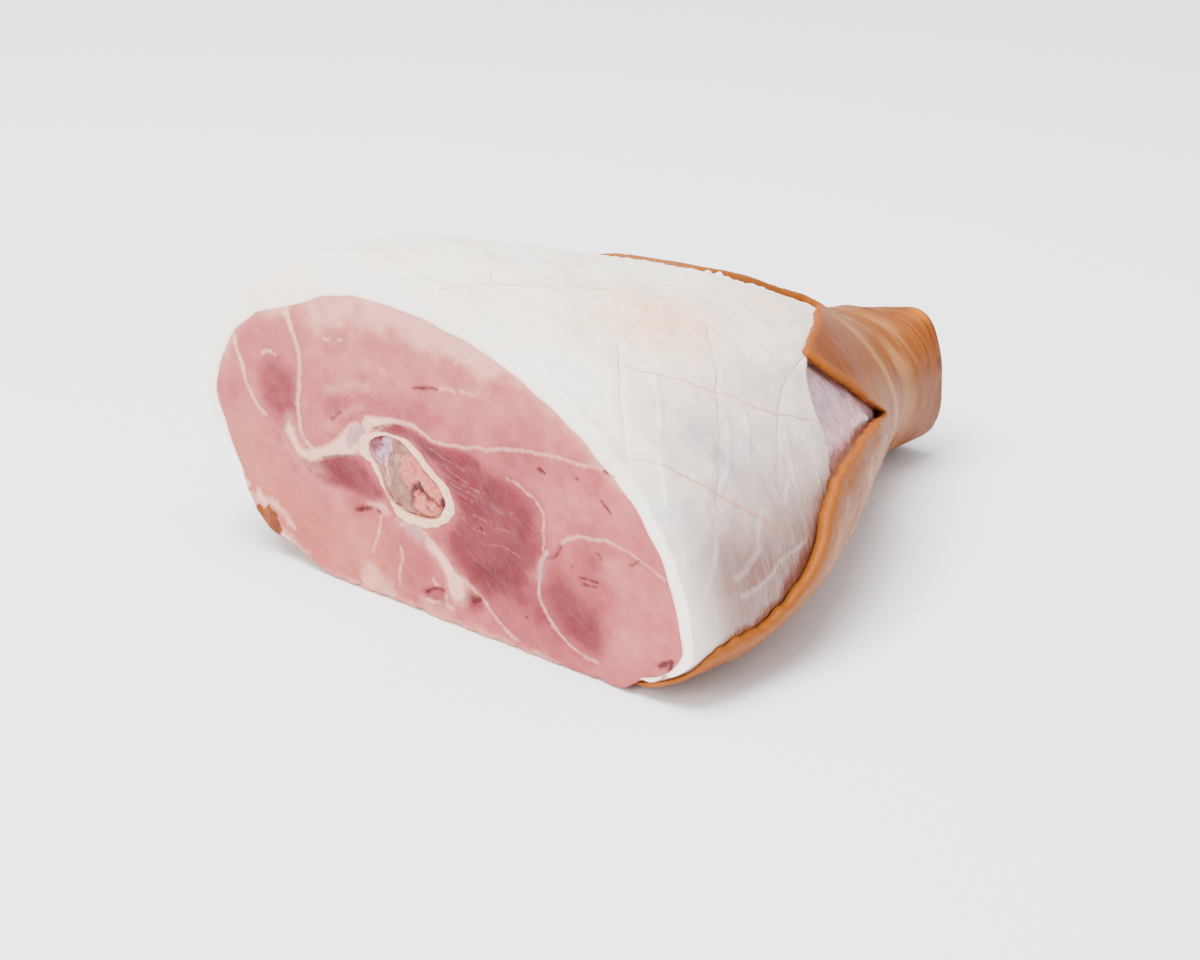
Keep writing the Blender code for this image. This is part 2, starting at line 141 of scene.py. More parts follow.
# one section across the leg, from the far side over the top to the near side and back underneath
def legRing(along, count):
    table = np.array(leg["stations"])
    at, table = table[:, 0], table[:, 1:]
    k = int(np.clip(np.searchsorted(at, along) - 1, 0, len(at) - 2))
    before, after = max(k - 1, 0), min(k + 2, len(at) - 1)
    span = at[k + 1] - at[k]
    t = (along - at[k]) / span
    slopeA = (table[k + 1] - table[before]) / (at[k + 1] - at[before]) * span
    slopeB = (table[after] - table[k]) / (at[after] - at[k]) * span
    v = ((2 * t**3 - 3 * t**2 + 1) * table[k] + (t**3 - 2 * t**2 + t) * slopeA
         + (3 * t**2 - 2 * t**3) * table[k + 1] + (t**3 - t**2) * slopeB)
    far, top, near = v[0:2], v[2:4], v[4:6]
    base = max(v[8], 0.0) + leg["skinThick"]
    flatFar, flatNear = np.array([v[6], base]), np.array([v[7], base])
    turn = np.arange(90)[:, None] / 90 * math.pi / 2

    def quarter(start, end, centre, power):
        bow = 2 / power
        return centre + (start - centre) * np.cos(turn) ** bow + (end - centre) * np.sin(turn) ** bow

    flat = flatNear + (flatFar - flatNear) * np.arange(20)[:, None] / 20
    loop = np.concatenate([
        quarter(far, top, np.array([top[0], far[1]]), v[9]),
        quarter(top, near, np.array([top[0], near[1]]), v[10]),
        quarter(near, flatNear, np.array([flatNear[0], near[1]]), v[11]),
        flat,
        quarter(flatFar, far, np.array([flatFar[0], far[1]]), v[12]),
    ])
    ring, girth = evenRing(loop, count)
    share = np.arange(count) / count
    height = np.zeros(count)
    for where, around, radius, rise in leg["swells"]:
        away = np.hypot((along - where) / mm, ((share - around + 0.5) % 1.0 - 0.5) * girth / mm)
        height += rise * mm * hump(away, 0, radius)
    height *= 1 - easeStep(share, 0.585, 0.600) * (1 - easeStep(share, 0.860, 0.875))
    return insetRing(ring, -height)


# tables of the form, read between their rows and columns
tableRows, tableCols = 136, 720
outerTable = np.array([legRing(a, tableCols) for a in np.linspace(0, leg["length"], tableRows)])
girthTable = np.array([np.sum(np.hypot(*(np.roll(r, -1, 0) - r).T)) for r in outerTable])


# the meat's edge: the leg's surface less the fat
def meatTable():
    share = np.arange(tableCols) / tableCols
    where, thick = zip(*leg["fatThick"])
    atFace = np.interp(share, where, thick) * mm
    wander = ripples(unitRing(tableCols), 0.22, 5) * 0.30 * mm
    rings = []
    for row, along in zip(outerTable, np.linspace(0, leg["length"], tableRows)):
        blend = float(easeStep(along, 0.0, 0.21))
        rings.append(insetRing(row, atFace * (1 - blend) + leg["shankFat"] * mm * blend + wander * (1 - blend)))
    return np.array(rings)


innerTable = meatTable()


# a table's value between its rows and columns
def readTable(table, along, share):
    r = np.clip(along / leg["length"], 0, 1) * (tableRows - 1)
    c = (share % 1.0) * tableCols
    r0 = np.minimum(r.astype(int), tableRows - 2)
    c0 = c.astype(int) % tableCols
    c1 = (c0 + 1) % tableCols
    fr, fc = (r - r0)[:, None], (c - np.floor(c))[:, None]
    return ((table[r0, c0] * (1 - fc) + table[r0, c1] * fc) * (1 - fr)
            + (table[r0 + 1, c0] * (1 - fc) + table[r0 + 1, c1] * fc) * fr)


# directions out of the surface, turned square to the leg at both ends
def outwardTable():
    x = np.linspace(0, leg["length"], tableRows)[:, None] * np.ones((1, tableCols))
    place = np.concatenate([x[:, :, None], outerTable], 2)
    way = np.cross(np.gradient(place, axis=0), np.roll(place, -1, 1) - np.roll(place, 1, 1))
    way /= np.linalg.norm(way, axis=2)[:, :, None]
    if np.sum(way[20, :, 1:] * (outerTable[20] - outerTable[20].mean(0))) < 0:
        way = -way
    ends = easeStep(x, 0.0, 0.005) * (1 - easeStep(x, leg["length"] - 0.005, leg["length"]))
    way[:, :, 0] *= ends
    return way / np.linalg.norm(way, axis=2)[:, :, None]


outTable = outwardTable()


# from distance along the leg, y and z to the shared frame
def toWorld(x, yz):
    return np.stack([x + leg["middle"][0], yz[:, 0] + leg["middle"][1], yz[:, 1]], 1)


# the leg's surface and the way out of it
def surfaceAt(along, share):
    out = readTable(outTable, along, share)
    return toWorld(along, readTable(outerTable, along, share)), out / np.linalg.norm(out, axis=1)[:, None]


def girthAt(along):
    return np.interp(along, np.linspace(0, leg["length"], tableRows), girthTable) / mm


# share of the way round, below zero for the last quarter, which is the far side underneath
def turnOf(share):
    return np.where(share > 0.75, share - 1, share)


# a curve through a few points, in even short steps
def smoothPath(points, step, closed=False):
    p = np.array(points, float)
    n = len(p)
    out = []
    for i in range(n if closed else n - 1):
        if closed:
            a, b, c, d = p[(i - 1) % n], p[i], p[(i + 1) % n], p[(i + 2) % n]
        else:
            a, b, c, d = p[max(i - 1, 0)], p[i], p[i + 1], p[min(i + 2, n - 1)]
        count = max(int(np.hypot(*(c - b)) / step), 1)
        for t in np.arange(count) / count:
            out.append(0.5 * (2 * b + (c - a) * t + (2 * a - 5 * b + 4 * c - d) * t**2
                              + (3 * b - a - 3 * c + d) * t**3))
    if not closed:
        out.append(p[-1])
    return np.array(out)


# distance from each point to a path, and how far along the path the nearest place is
def pathDistance(points, path, closed=False):
    start = path if closed else path[:-1]
    end = np.roll(path, -1, 0) if closed else path[1:]
    run = end - start
    size = np.maximum(np.sum(run * run, 1), 1e-12)
    best = np.full(len(points), 1e9)
    place = np.zeros(len(points))
    for i in range(len(start)):
        t = np.clip(((points - start[i]) @ run[i]) / size[i], 0, 1)
        d = np.hypot(*(start[i] + t[:, None] * run[i] - points).T)
        nearer = d < best
        best[nearer] = d[nearer]
        place[nearer] = (i + t[nearer]) / len(start)
    return best, place


# the same with a sign: above zero inside a closed outline
def insideDistance(points, loop):
    best, _ = pathDistance(points, loop, True)
    start, end = loop, np.roll(loop, -1, 0)
    inside = np.zeros(len(points), bool)
    for a, b in zip(start, end):
        if a[1] == b[1]:
            continue
        crosses = (a[1] > points[:, 1]) != (b[1] > points[:, 1])
        at = a[0] + (points[:, 1] - a[1]) / (b[1] - a[1]) * (b[0] - a[0])
        inside ^= crosses & (at > points[:, 0])
    return np.where(inside, best, -best)


def insideOutline(points, outline, step=1.5):
    return insideDistance(points, smoothPath(outline, step, True))


def verts(mesh):
    co = np.empty(len(mesh.vertices) * 3)
    mesh.vertices.foreach_get("co", co)
    return co.reshape(-1, 3)


def setVerts(mesh, co):
    mesh.vertices.foreach_set("co", np.ascontiguousarray(co, dtype=np.float32).ravel())
    mesh.update()


# one value a vertex, or one for all, under each name
def addFields(mesh, **fields):
    for name, values in fields.items():
        values = np.broadcast_to(values, len(mesh.vertices))
        field = mesh.attributes.new(name, "FLOAT", "POINT")
        field.data.foreach_set("value", np.ascontiguousarray(values, dtype=np.float32))


def placeObject(name, data, place=None, aim=None):
    item = bpy.data.objects.new(name, data)
    bpy.context.scene.collection.objects.link(item)
    if place:
        item.location = place
        item.rotation_euler = (Vector(aim) - Vector(place)).to_track_quat("-Z", "Y").to_euler()
    return item


def makePiece(name, mesh, node, material):
    mesh.shade_smooth()
    piece = placeObject(name, mesh)
    mesh.materials.append(material)
    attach(piece, "root")
    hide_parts(node)
    print("made", name, len(mesh.polygons), "faces")
    return piece


# sRGB hex to linear
def tint(code):
    channels = [int(code[i:i + 2], 16) / 255 for i in (1, 3, 5)]
    return tuple(c / 12.92 if c <= 0.04045 else ((c + 0.055) / 1.055) ** 2.4 for c in channels) + (1.0,)


# the output that a node is used for, where it isn't the first
usedOutput = {"Mix": 2, "Attribute": "Fac", "TexCoord": "Object"}
rangeInputs = ("From Min", "From Max", "To Min", "To Max")


# adds one node and gives its output: inputs by name or number, linked or set, and other settings by property
def addNode(tree, kind, settings=None):
    node = tree.nodes.new("ShaderNode" + kind)
    if kind == "Mix":
        node.data_type = "RGBA"
    for key, value in (settings or {}).items():
        if isinstance(value, bpy.types.NodeSocket):
            tree.links.new(value, node.inputs[key])
        elif key == "ramp":
            while len(node.color_ramp.elements) < len(value):
                node.color_ramp.elements.new(0.5)
            for stop, (at, code) in zip(node.color_ramp.elements, value):
                stop.position = at
                stop.color = tint(code)
        elif key == "range":
            for name, number in zip(rangeInputs, value):
                node.inputs[name].default_value = number
        elif isinstance(key, int) or key in node.inputs:
            node.inputs[key].default_value = tint(value) if isinstance(value, str) else value
        else:
            setattr(node, key, value)
    return node.outputs[usedOutput.get(kind, 0)]


# a material, what adds its nodes, and the fields that its nodes read
def newMaterial(name, settings, fieldNames=()):
    material = bpy.data.materials.new(name)
    material.use_nodes = True
    for key, value in {"Subsurface Scale": 1.0, **settings}.items():
        material.node_tree.nodes["Principled BSDF"].inputs[key].default_value = value
    add = partial(addNode, material.node_tree)
    return material, add, {name: add("Attribute", {"attribute_name": name}) for name in fieldNames}


# noise drawn out along two fields, each with its own scale
def drawnNoise(add, first, second, settings):
    x, y = (add("Math", {"operation": "MULTIPLY", 0: value, 1: scale}) for value, scale in (first, second))
    return add("TexNoise", {0: add("CombineXYZ", {0: x, 1: y}), "Scale": 1.0, **settings})


# joins colour, roughness and bumps (strength, distance, height) to the surface
def setSurface(material, add, colour, rough, bumps):
    sockets = {"Base Color": colour}
    if rough:
        sockets["Roughness"] = rough
    for strength, distance, height in bumps:
        under = {"Normal": sockets["Normal"]} if "Normal" in sockets else {}
        sockets["Normal"] = add("Bump", {"Strength": strength, "Distance": distance, "Height": height, **under})
    for name, socket in sockets.items():
        material.node_tree.links.new(socket, material.node_tree.nodes["Principled BSDF"].inputs[name])
    return material


print("the form is ready")

# where the skin is off: distance in mm, share of the way round
bare = {
    "outline": [
        (-10, 0.547), (8, 0.543), (21, 0.541), (35, 0.540), (45.5, 0.536), (55, 0.531), (67, 0.523),
        (76, 0.511), (82.5, 0.499), (94, 0.488), (110, 0.480), (138, 0.475), (158, 0.476), (176, 0.480),
        (188, 0.481), (182, 0.474), (170.5, 0.461), (160, 0.443), (154, 0.430), (148.5, 0.419), (144.5, 0.405),
        (141.5, 0.394), (142, 0.390), (146, 0.386), (155, 0.379), (177, 0.357), (195, 0.323), (207, 0.300),
        (210, 0.286), (203, 0.268), (190, 0.258), (172, 0.252), (158, 0.236), (150, 0.200), (140, 0.150),
        (120, 0.085), (90, 0.038), (60, 0.012), (32, 0.000), (-10, -0.012),
    ],
    # underneath, the skin starts a little behind the face
    "under": [(-10, 0.606), (5, 0.606), (8, 0.640), (6.5, 0.700), (9, 0.760), (7, 0.830), (8, 0.885),
              (5, 0.918), (3, 0.950), (1.5, 0.975), (-10, 0.985)],
    # from the fat's stepped edge to the tip, where the fat is gone down to the membrane
    "notch": [
        (143, 0.396), (139, 0.400), (129, 0.416), (117, 0.443), (111, 0.463), (104, 0.482), (100, 0.530),
        (250, 0.530), (250, 0.396),
    ],
    "notchDeep": 3.0,
    "skinAtFace": 1.1,  # the skin's cut edge at the face is thinner, in mm
    "flapLift": 3.2,
    "span": 500.0,  # mm that stand for once round, to measure on the surface
}


def onSkin(along, share):
    return np.stack([along / mm, turnOf(share) * bare["span"]], 1)


def toSpan(points):
    return [(a, s * bare["span"]) for a, s in points]


def raggedLoop(outline):
    loop = smoothPath(toSpan(outline), 1.6, True)
    wander = ripples(loop, 11.0, 3) * 0.26 + ripples(loop, 4.0, 4) * 0.12
    return loop + acrossRing(loop) * wander[:, None]


bareLoop = raggedLoop(bare["outline"])
underLoop = raggedLoop(bare["under"])
bareLoops = [bareLoop, underLoop, underLoop - np.array([0, bare["span"]])]
notchLoop = smoothPath(toSpan(bare["notch"]), 2.5, True)


# above zero where there's no skin
def bareDistance(spot):
    return np.max([insideDistance(spot, loop) for loop in bareLoops], axis=0)


def skinThickness(along):
    atFace = bare["skinAtFace"] * mm
    return atFace + (leg["skinThick"] - atFace) * easeStep(along, 0.002, 0.022)


# how far the skin's free edge stands off on the near side
def flapLift(along, share, edge):
    near = hump(share, 0.505, 0.050) * easeStep(along, 0.0, 0.06) * (1 - easeStep(along, 0.165, 0.205))
    return bare["flapLift"] * mm * near * (1 - easeStep(edge, 5.0, 22.0))


# trimmed back fat: dense, cool white, drying to a satin skin; membrane over it is wet and lets the grey through
def makeFatMaterial():
    material, add, field = newMaterial("trimmedPorkFat", {
        "Roughness": 0.42, "IOR": 1.46, "Subsurface Weight": 0.12, "Subsurface Radius": (0.006, 0.003, 0.002),
        "Specular IOR Level": 0.5, "Coat Weight": 0.22, "Coat Roughness": 0.16,
    }, ("flank", "peach", "pool", "leanEdge", "lowFlank", "lengthCuts", "lengthCutsSide", "roundCuts",
        "roundCutsSide", "folds", "foldsSide", "rose", "notch", "skinEdge", "wet", "alongMm", "roundMm"))
    place = add("TexCoord")
    # clouds of 25 mm and 6 mm
    cloud = add("TexNoise", {0: place, "Scale": 40.0, "Detail": 3.0, "Roughness": 0.55})
    small = add("TexNoise", {0: place, "Scale": 170.0, "Detail": 4.0, "Roughness": 0.6})
    white = add("ValToRGB", {0: cloud, "ramp": [(0.30, "#F6E4D3"), (0.55, "#FFF3E5"), (0.75, "#FFFAF0")]})
    grey = add("ValToRGB", {0: cloud, "ramp": [(0.28, "#C6B0AC"), (0.52, "#E3CDC2"), (0.74, "#F6E4D4")]})
    flank = add("MapRange", {0: cloud, "range": (0, 1, -0.25, 0.25)})
    flank = add("Math", {"operation": "ADD", 0: field["flank"], 1: flank})
    flank = add("MapRange", {0: flank, "range": (0.30, 0.75, 0, 1)})
    body = add("Mix", {0: flank, 6: white, 7: grey})
    # pools of wet membrane let the grey beneath through, blood coloured the top a warm peach, and the rim
    # beside the lean is pink; low on the near flank by the skin's flap, and at the face's foot by the floor,
    # the fat is painted a dark pinkish brown, which is painted shade over the fat's own pink
    pool = add("Math", {"operation": "MULTIPLY", 0: field["pool"], 1: 0.55})
    peach = add("MapRange", {0: small, "range": (0.30, 0.55, 0.25, 1)})
    peach = add("Math", {"operation": "MULTIPLY", 0: field["peach"], 1: peach})
    rim = add("MapRange", {0: field["leanEdge"], "range": (0, 1.8, 0.55, 0)})
    # painted shade: the lower near flank and the foot by the floor darkened towards brown
    low = add("Math", {"operation": "MULTIPLY", 0: field["lowFlank"], 1: 0.95})
    for cover, colour in ((pool, "#AFA3AC"), (peach, "#FFC9A4"), (rim, "#F4BEB2"), (low, "#78463C")):
        body = add("Mix", {0: cover, 6: body, 7: colour})
    # knife lines, thin and rusty, worn away in places
    worn = add("MapRange", {0: cloud, "range": (0.34, 0.55, 0.25, 1)})
    for name, colour, half in (("lengthCuts", "#C87852", 0.26), ("roundCuts", "#A98478", 0.22)):
        across = add("Math", {"operation": "ABSOLUTE", 0: field[name + "Side"]})
        thin = add("MapRange", {0: across, "range": (half * 0.4, half * 2.0, 0.85, 0)})
        near = add("MapRange", {0: field[name], "range": (1.8, 2.4, 1, 0)})
        cover = add("Math", {"operation": "MULTIPLY", 0: thin, 1: near})
        cover = add("Math", {"operation": "MULTIPLY", 0: cover, 1: worn})
        body = add("Mix", {0: cover, 6: body, 7: colour})
    # bare membrane in the notch, lavender to rose, and a brown line where fat meets skin, partly stain from the
    # skin and partly painted shadow of the skin's edge
    lavender = add("ValToRGB", {0: small, "ramp": [(0.3, "#8E6C74"), (0.7, "#B3929A")]})
    rosy = add("ValToRGB", {0: small, "ramp": [(0.3, "#B4727A"), (0.7, "#DDA8A4")]})
    membrane = add("Mix", {0: field["rose"], 6: lavender, 7: rosy})
    inNotch = add("MapRange", {0: field["notch"], "range": (0, 0.6, 0, 1)})
    stainAndShadow = add("MapRange", {0: field["skinEdge"], "range": (0, 0.9, 0.5, 0)})
    for cover, colour in ((inNotch, membrane), (stainAndShadow, "#B06A35")):
        body = add("Mix", {0: cover, 6: body, 7: colour})
    # wet membrane is glossier than cut fat
    gloss = add("MapRange", {0: field["wet"], "range": (0, 1, 0.52, 0.22)})
    rough = add("MapRange", {0: small, "range": (0, 1, -0.10, 0.12)})
    rough = add("Math", {"operation": "ADD", 0: gloss, 1: rough})
    # wrinkles of 1 to 3 mm, drawn out round the leg
    crest = drawnNoise(add, (field["alongMm"], 0.22), (field["roundMm"], 0.045),
                       {"Detail": 2.0, "Roughness": 0.5, "Distortion": 0.3})
    crest = add("Math", {"operation": "SUBTRACT", 0: crest, 1: 0.52})
    crest = add("Math", {"operation": "ABSOLUTE", 0: crest})
    crest = add("MapRange", {0: crest, "range": (0, 0.10, 1, 0)})
    crest = add("Math", {"operation": "MULTIPLY", 0: crest, 1: field["wet"]})
    # single folds that the light catches; with the wrinkle crests they are also painted whiter, a painted
    # highlight
    line = add("Math", {"operation": "ABSOLUTE", 0: field["foldsSide"]})
    line = add("MapRange", {0: line, "interpolation_type": "SMOOTHSTEP", "range": (0, 1.7, 0.75, 0)})
    near = add("MapRange", {0: field["folds"], "range": (1.2, 2.6, 1, 0)})
    line = add("Math", {"operation": "MULTIPLY", 0: line, 1: near})
    # painted highlight on the fold and wrinkle crests
    foldHighlight = add("Math", {"operation": "MULTIPLY_ADD", 0: crest, 1: 0.30, 2: line})
    foldHighlight = add("Math", {"operation": "MULTIPLY", "use_clamp": True, 0: foldHighlight, 1: 0.16})
    body = add("Mix", {0: foldHighlight, 6: body, 7: "#FFF8F2"})
    height = add("Math", {"operation": "MULTIPLY_ADD", 0: crest, 1: 0.5, 2: line})
    return setSurface(material, add, body, rough, [(0.55, 0.0007, height), (0.22, 0.0005, small)])


# cured cooked lean: pale rose, fine moist grain; blood left in it shows as deeper rose
def makeLeanMaterial():
    material, add, field = newMaterial("curedPorkLean", {
        "Roughness": 0.40, "IOR": 1.42, "Subsurface Weight": 0.06, "Subsurface Radius": (0.004, 0.0015, 0.001),
        "Specular IOR Level": 0.20,
    }, ("grainAlong", "grainAcross", "grainShow", "tone", "thread", "creamFat", "seam", "gash", "warm", "veil",
        "gristle", "crust"))
    place = add("TexCoord")
    mottle = add("TexNoise", {0: place, "Scale": 120.0, "Detail": 5.0, "Roughness": 0.6})
    fleck = add("TexNoise", {0: place, "Scale": 900.0, "Detail": 2.0, "Roughness": 0.6})
    # grain runs in arcs round the bone: 0.5 mm across, 12 mm long
    grain = drawnNoise(add, (field["grainAlong"], 0.07), (field["grainAcross"], 0.85),
                       {"Detail": 2.0, "Roughness": 0.55, "Distortion": 0.35})
    tone = field["tone"]
    for noise, swing in ((mottle, 0.16), (fleck, 0.06)):
        uneven = add("MapRange", {0: noise, "range": (0, 1, -swing, swing)})
        tone = add("Math", {"operation": "ADD", 0: tone, 1: uneven})
    body = add("ValToRGB", {0: tone, "ramp": [
        (0.0, "#D08F84"), (0.20, "#B5645F"), (0.42, "#A04A4C"), (0.70, "#782A31"), (1.0, "#57151E")]})
    for limits, colour in (((0.56, 0.74, 0, 0.36), "#C88079"), ((0.44, 0.30, 0, 0.30), "#853C3D")):
        cover = add("MapRange", {0: grain, "range": limits})
        cover = add("Math", {"operation": "MULTIPLY", 0: cover, 1: field["grainShow"]})
        body = add("Mix", {0: cover, 6: body, 7: colour})
    warm = add("Math", {"operation": "MULTIPLY", 0: field["warm"], 1: 0.6})
    body = add("Mix", {0: warm, 6: body, 7: "#AE5D4C"})
    # each kind of line is a distance in mm, roughened before it is cut off
    rag = add("TexNoise", {0: place, "Scale": 420.0, "Detail": 3.0})
    rag = add("MapRange", {0: rag, "range": (0, 1, -0.9, 0.9)})
    for name, soft, share, colour in (("thread", 0.5, 0.34, "#C07A70"), ("creamFat", 1.0, 0.90, "#E2A695"),
                                      ("seam", 0.8, 0.80, "#E3AC9E"), ("gash", 0.5, 0.92, "#4C1214")):
        cover = add("Math", {"operation": "ADD", 0: field[name], 1: rag})
        cover = add("MapRange", {0: cover, "range": (soft, -soft, 0, share)})
        body = add("Mix", {0: cover, 6: body, 7: colour})
    # wet tissue that only veils the meat, gristle beside the bone, a smoked crust at the far corner
    patchy = add("MapRange", {0: mottle, "range": (0.30, 0.60, 0.35, 1.1)})
    scorched = add("ValToRGB", {0: mottle, "ramp": [(0.34, "#4E1C02"), (0.52, "#7C3604"), (0.70, "#96500C")]})
    for name, strength, colour in (("veil", patchy, "#D99C8D"), ("gristle", patchy, "#A4747E"),
                                   ("crust", 1.6, scorched)):
        cover = add("Math", {"operation": "MULTIPLY", "use_clamp": True, 0: field[name], 1: strength})
        body = add("Mix", {0: cover, 6: body, 7: colour})
    rough = add("MapRange", {0: mottle, "range": (0, 1, 0.34, 0.56)})
    return setSurface(material, add, body, rough, [(0.30, 0.0005, grain), (0.30, 0.0004, fleck)])


# smoked skin: amber brown, leathery and satin, with streaks where it was stretched, orange where it was cut
def makeSkinMaterial():
    material, add, field = newMaterial("smokedPorkSkin", {
        "Roughness": 0.45, "IOR": 1.48, "Subsurface Weight": 0.06, "Subsurface Radius": (0.004, 0.0016, 0.0008),
        "Specular IOR Level": 0.16,
    }, ("downMm", "streakMm", "cutEdge", "pale", "smoke", "spot", "glow"))
    # streaks 1.5 mm wide and 40 mm long, bands 12 mm wide
    streak = drawnNoise(add, (field["downMm"], 0.022), (field["streakMm"], 1.0),
                        {"Detail": 4.0, "Roughness": 0.6, "Distortion": 0.1})
    band = drawnNoise(add, (field["downMm"], 0.02), (field["streakMm"], 0.11),
                      {"Detail": 3.0, "Roughness": 0.5, "Distortion": 0.3})
    pore = add("TexNoise", {0: add("TexCoord"), "Scale": 800.0, "Detail": 3.0, "Roughness": 0.6})
    body = add("ValToRGB", {0: streak, "ramp": [
        (0.28, "#66300B"), (0.44, "#7A3F12"), (0.58, "#8B4C18"), (0.74, "#A6682E")]})
    pale = add("Math", {"operation": "ADD", 0: band, 1: field["pale"]})
    pale = add("MapRange", {0: pale, "range": (0.58, 0.78, 0, 0.75)})
    # painted shade: the skin is darker towards the shank's end and underneath; the tongue is darker as well
    smoke = add("MapRange", {0: band, "range": (0.35, 0.6, 0, 1)})
    smoke = add("Math", {"operation": "MULTIPLY", "use_clamp": True, 0: field["smoke"], 1: smoke})
    edge = add("MapRange", {0: streak, "range": (0, 1, -1.2, 1.2)})
    edge = add("Math", {"operation": "ADD", 0: field["cutEdge"], 1: edge})
    edge = add("MapRange", {0: edge, "range": (1.2, 4.4, 0.85, 0)})
    spot = add("MapRange", {0: field["spot"], "range": (-1.5, 2.5, 0.85, 0)})
    glow = add("MapRange", {0: field["glow"], "range": (-2.5, 2.5, 0.9, 0)})
    for cover, colour in ((pale, "#B07A4A"), (smoke, "#6E340A"), (edge, "#8E4C12"), (spot, "#5E2808"),
                          (glow, "#B8620A")):
        body = add("Mix", {0: cover, 6: body, 7: colour})
    rough = add("MapRange", {0: streak, "range": (0, 1, 0.34, 0.62)})
    return setSurface(material, add, body, rough, [(0.35, 0.0005, streak), (0.3, 0.0004, pore)])


# sawn bone: ivory, dull, with a fine porous edge
def makeBoneMaterial():
    material, add, field = newMaterial("sawnLegBone", {
        "Roughness": 0.48, "IOR": 1.55, "Subsurface Weight": 0.08, "Subsurface Radius": (0.003, 0.002, 0.0015),
    }, ("rim",))
    place = add("TexCoord")
    pores = add("TexNoise", {0: place, "Scale": 700.0, "Detail": 4.0, "Roughness": 0.65})
    cloud = add("TexNoise", {0: place, "Scale": 130.0, "Detail": 3.0})
    body = add("ValToRGB", {0: pores, "ramp": [(0.30, "#CB957A"), (0.5, "#E2AE93"), (0.72, "#F2C8AE")]})
    pinkish = add("MapRange", {0: cloud, "range": (0.45, 0.75, 0, 0.5)})
    rim = add("MapRange", {0: field["rim"], "range": (0.9, 0, 0, 0.6)})
    for cover, colour in ((pinkish, "#D9988A"), (rim, "#B5705F")):
        body = add("Mix", {0: cover, 6: body, 7: colour})
    return setSurface(material, add, body, None, [(0.3, 0.0004, pores)])


# marrow: pink granular fat, grey spongy bone beside it, dark clots and a bluish round of gristle
def makeMarrowMaterial():
    material, add, field = newMaterial("boneMarrow", {
        "Roughness": 0.36, "IOR": 1.44, "Subsurface Weight": 0.10, "Subsurface Radius": (0.003, 0.0012, 0.0009),
        "Specular IOR Level": 0.30,
    }, ("plug", "roundBit", "bloodRound", "clot", "septum"))
    place = add("TexCoord")
    grain = add("TexNoise", {0: place, "Scale": 900.0, "Detail": 3.0, "Roughness": 0.7})
    cloud = add("TexNoise", {0: place, "Scale": 260.0, "Detail": 4.0, "Roughness": 0.6})
    body = add("ValToRGB", {0: cloud, "ramp": [(0.28, "#70463C"), (0.5, "#8A5A4C"), (0.75, "#AE8274")]})
    pink = add("ValToRGB", {0: grain, "ramp": [(0.30, "#A64F40"), (0.5, "#BE6555"), (0.72, "#D48878")]})
    bluish = add("ValToRGB", {0: cloud, "ramp": [(0.34, "#76465A"), (0.50, "#A07888"), (0.75, "#C5A5B4")]})
    rag = add("MapRange", {0: cloud, "range": (0, 1, -1.6, 1.6)})
    for name, colour, limits in (
            ("plug", pink, (-0.5, 0.5, 0, 1)), ("roundBit", bluish, (-0.5, 0.5, 0, 1)),
            ("bloodRound", "#702832", (1.2, -1.2, 0, 0.9)), ("clot", "#4A0E10", (0.8, -0.8, 0, 1)),
            ("septum", "#DDA99E", (0.5, -0.5, 0, 0.85))):
        cover = add("Math", {"operation": "ADD", 0: field[name], 1: rag})
        cover = add("MapRange", {0: cover, "range": limits})
        body = add("Mix", {0: cover, 6: body, 7: colour})
    return setSurface(material, add, body, None, [(0.5, 0.0006, grain)])


print("materials")
fatMaterial = makeFatMaterial()
leanMaterial = makeLeanMaterial()
skinMaterial = makeSkinMaterial()
boneMaterial = makeBoneMaterial()
marrowMaterial = makeMarrowMaterial()


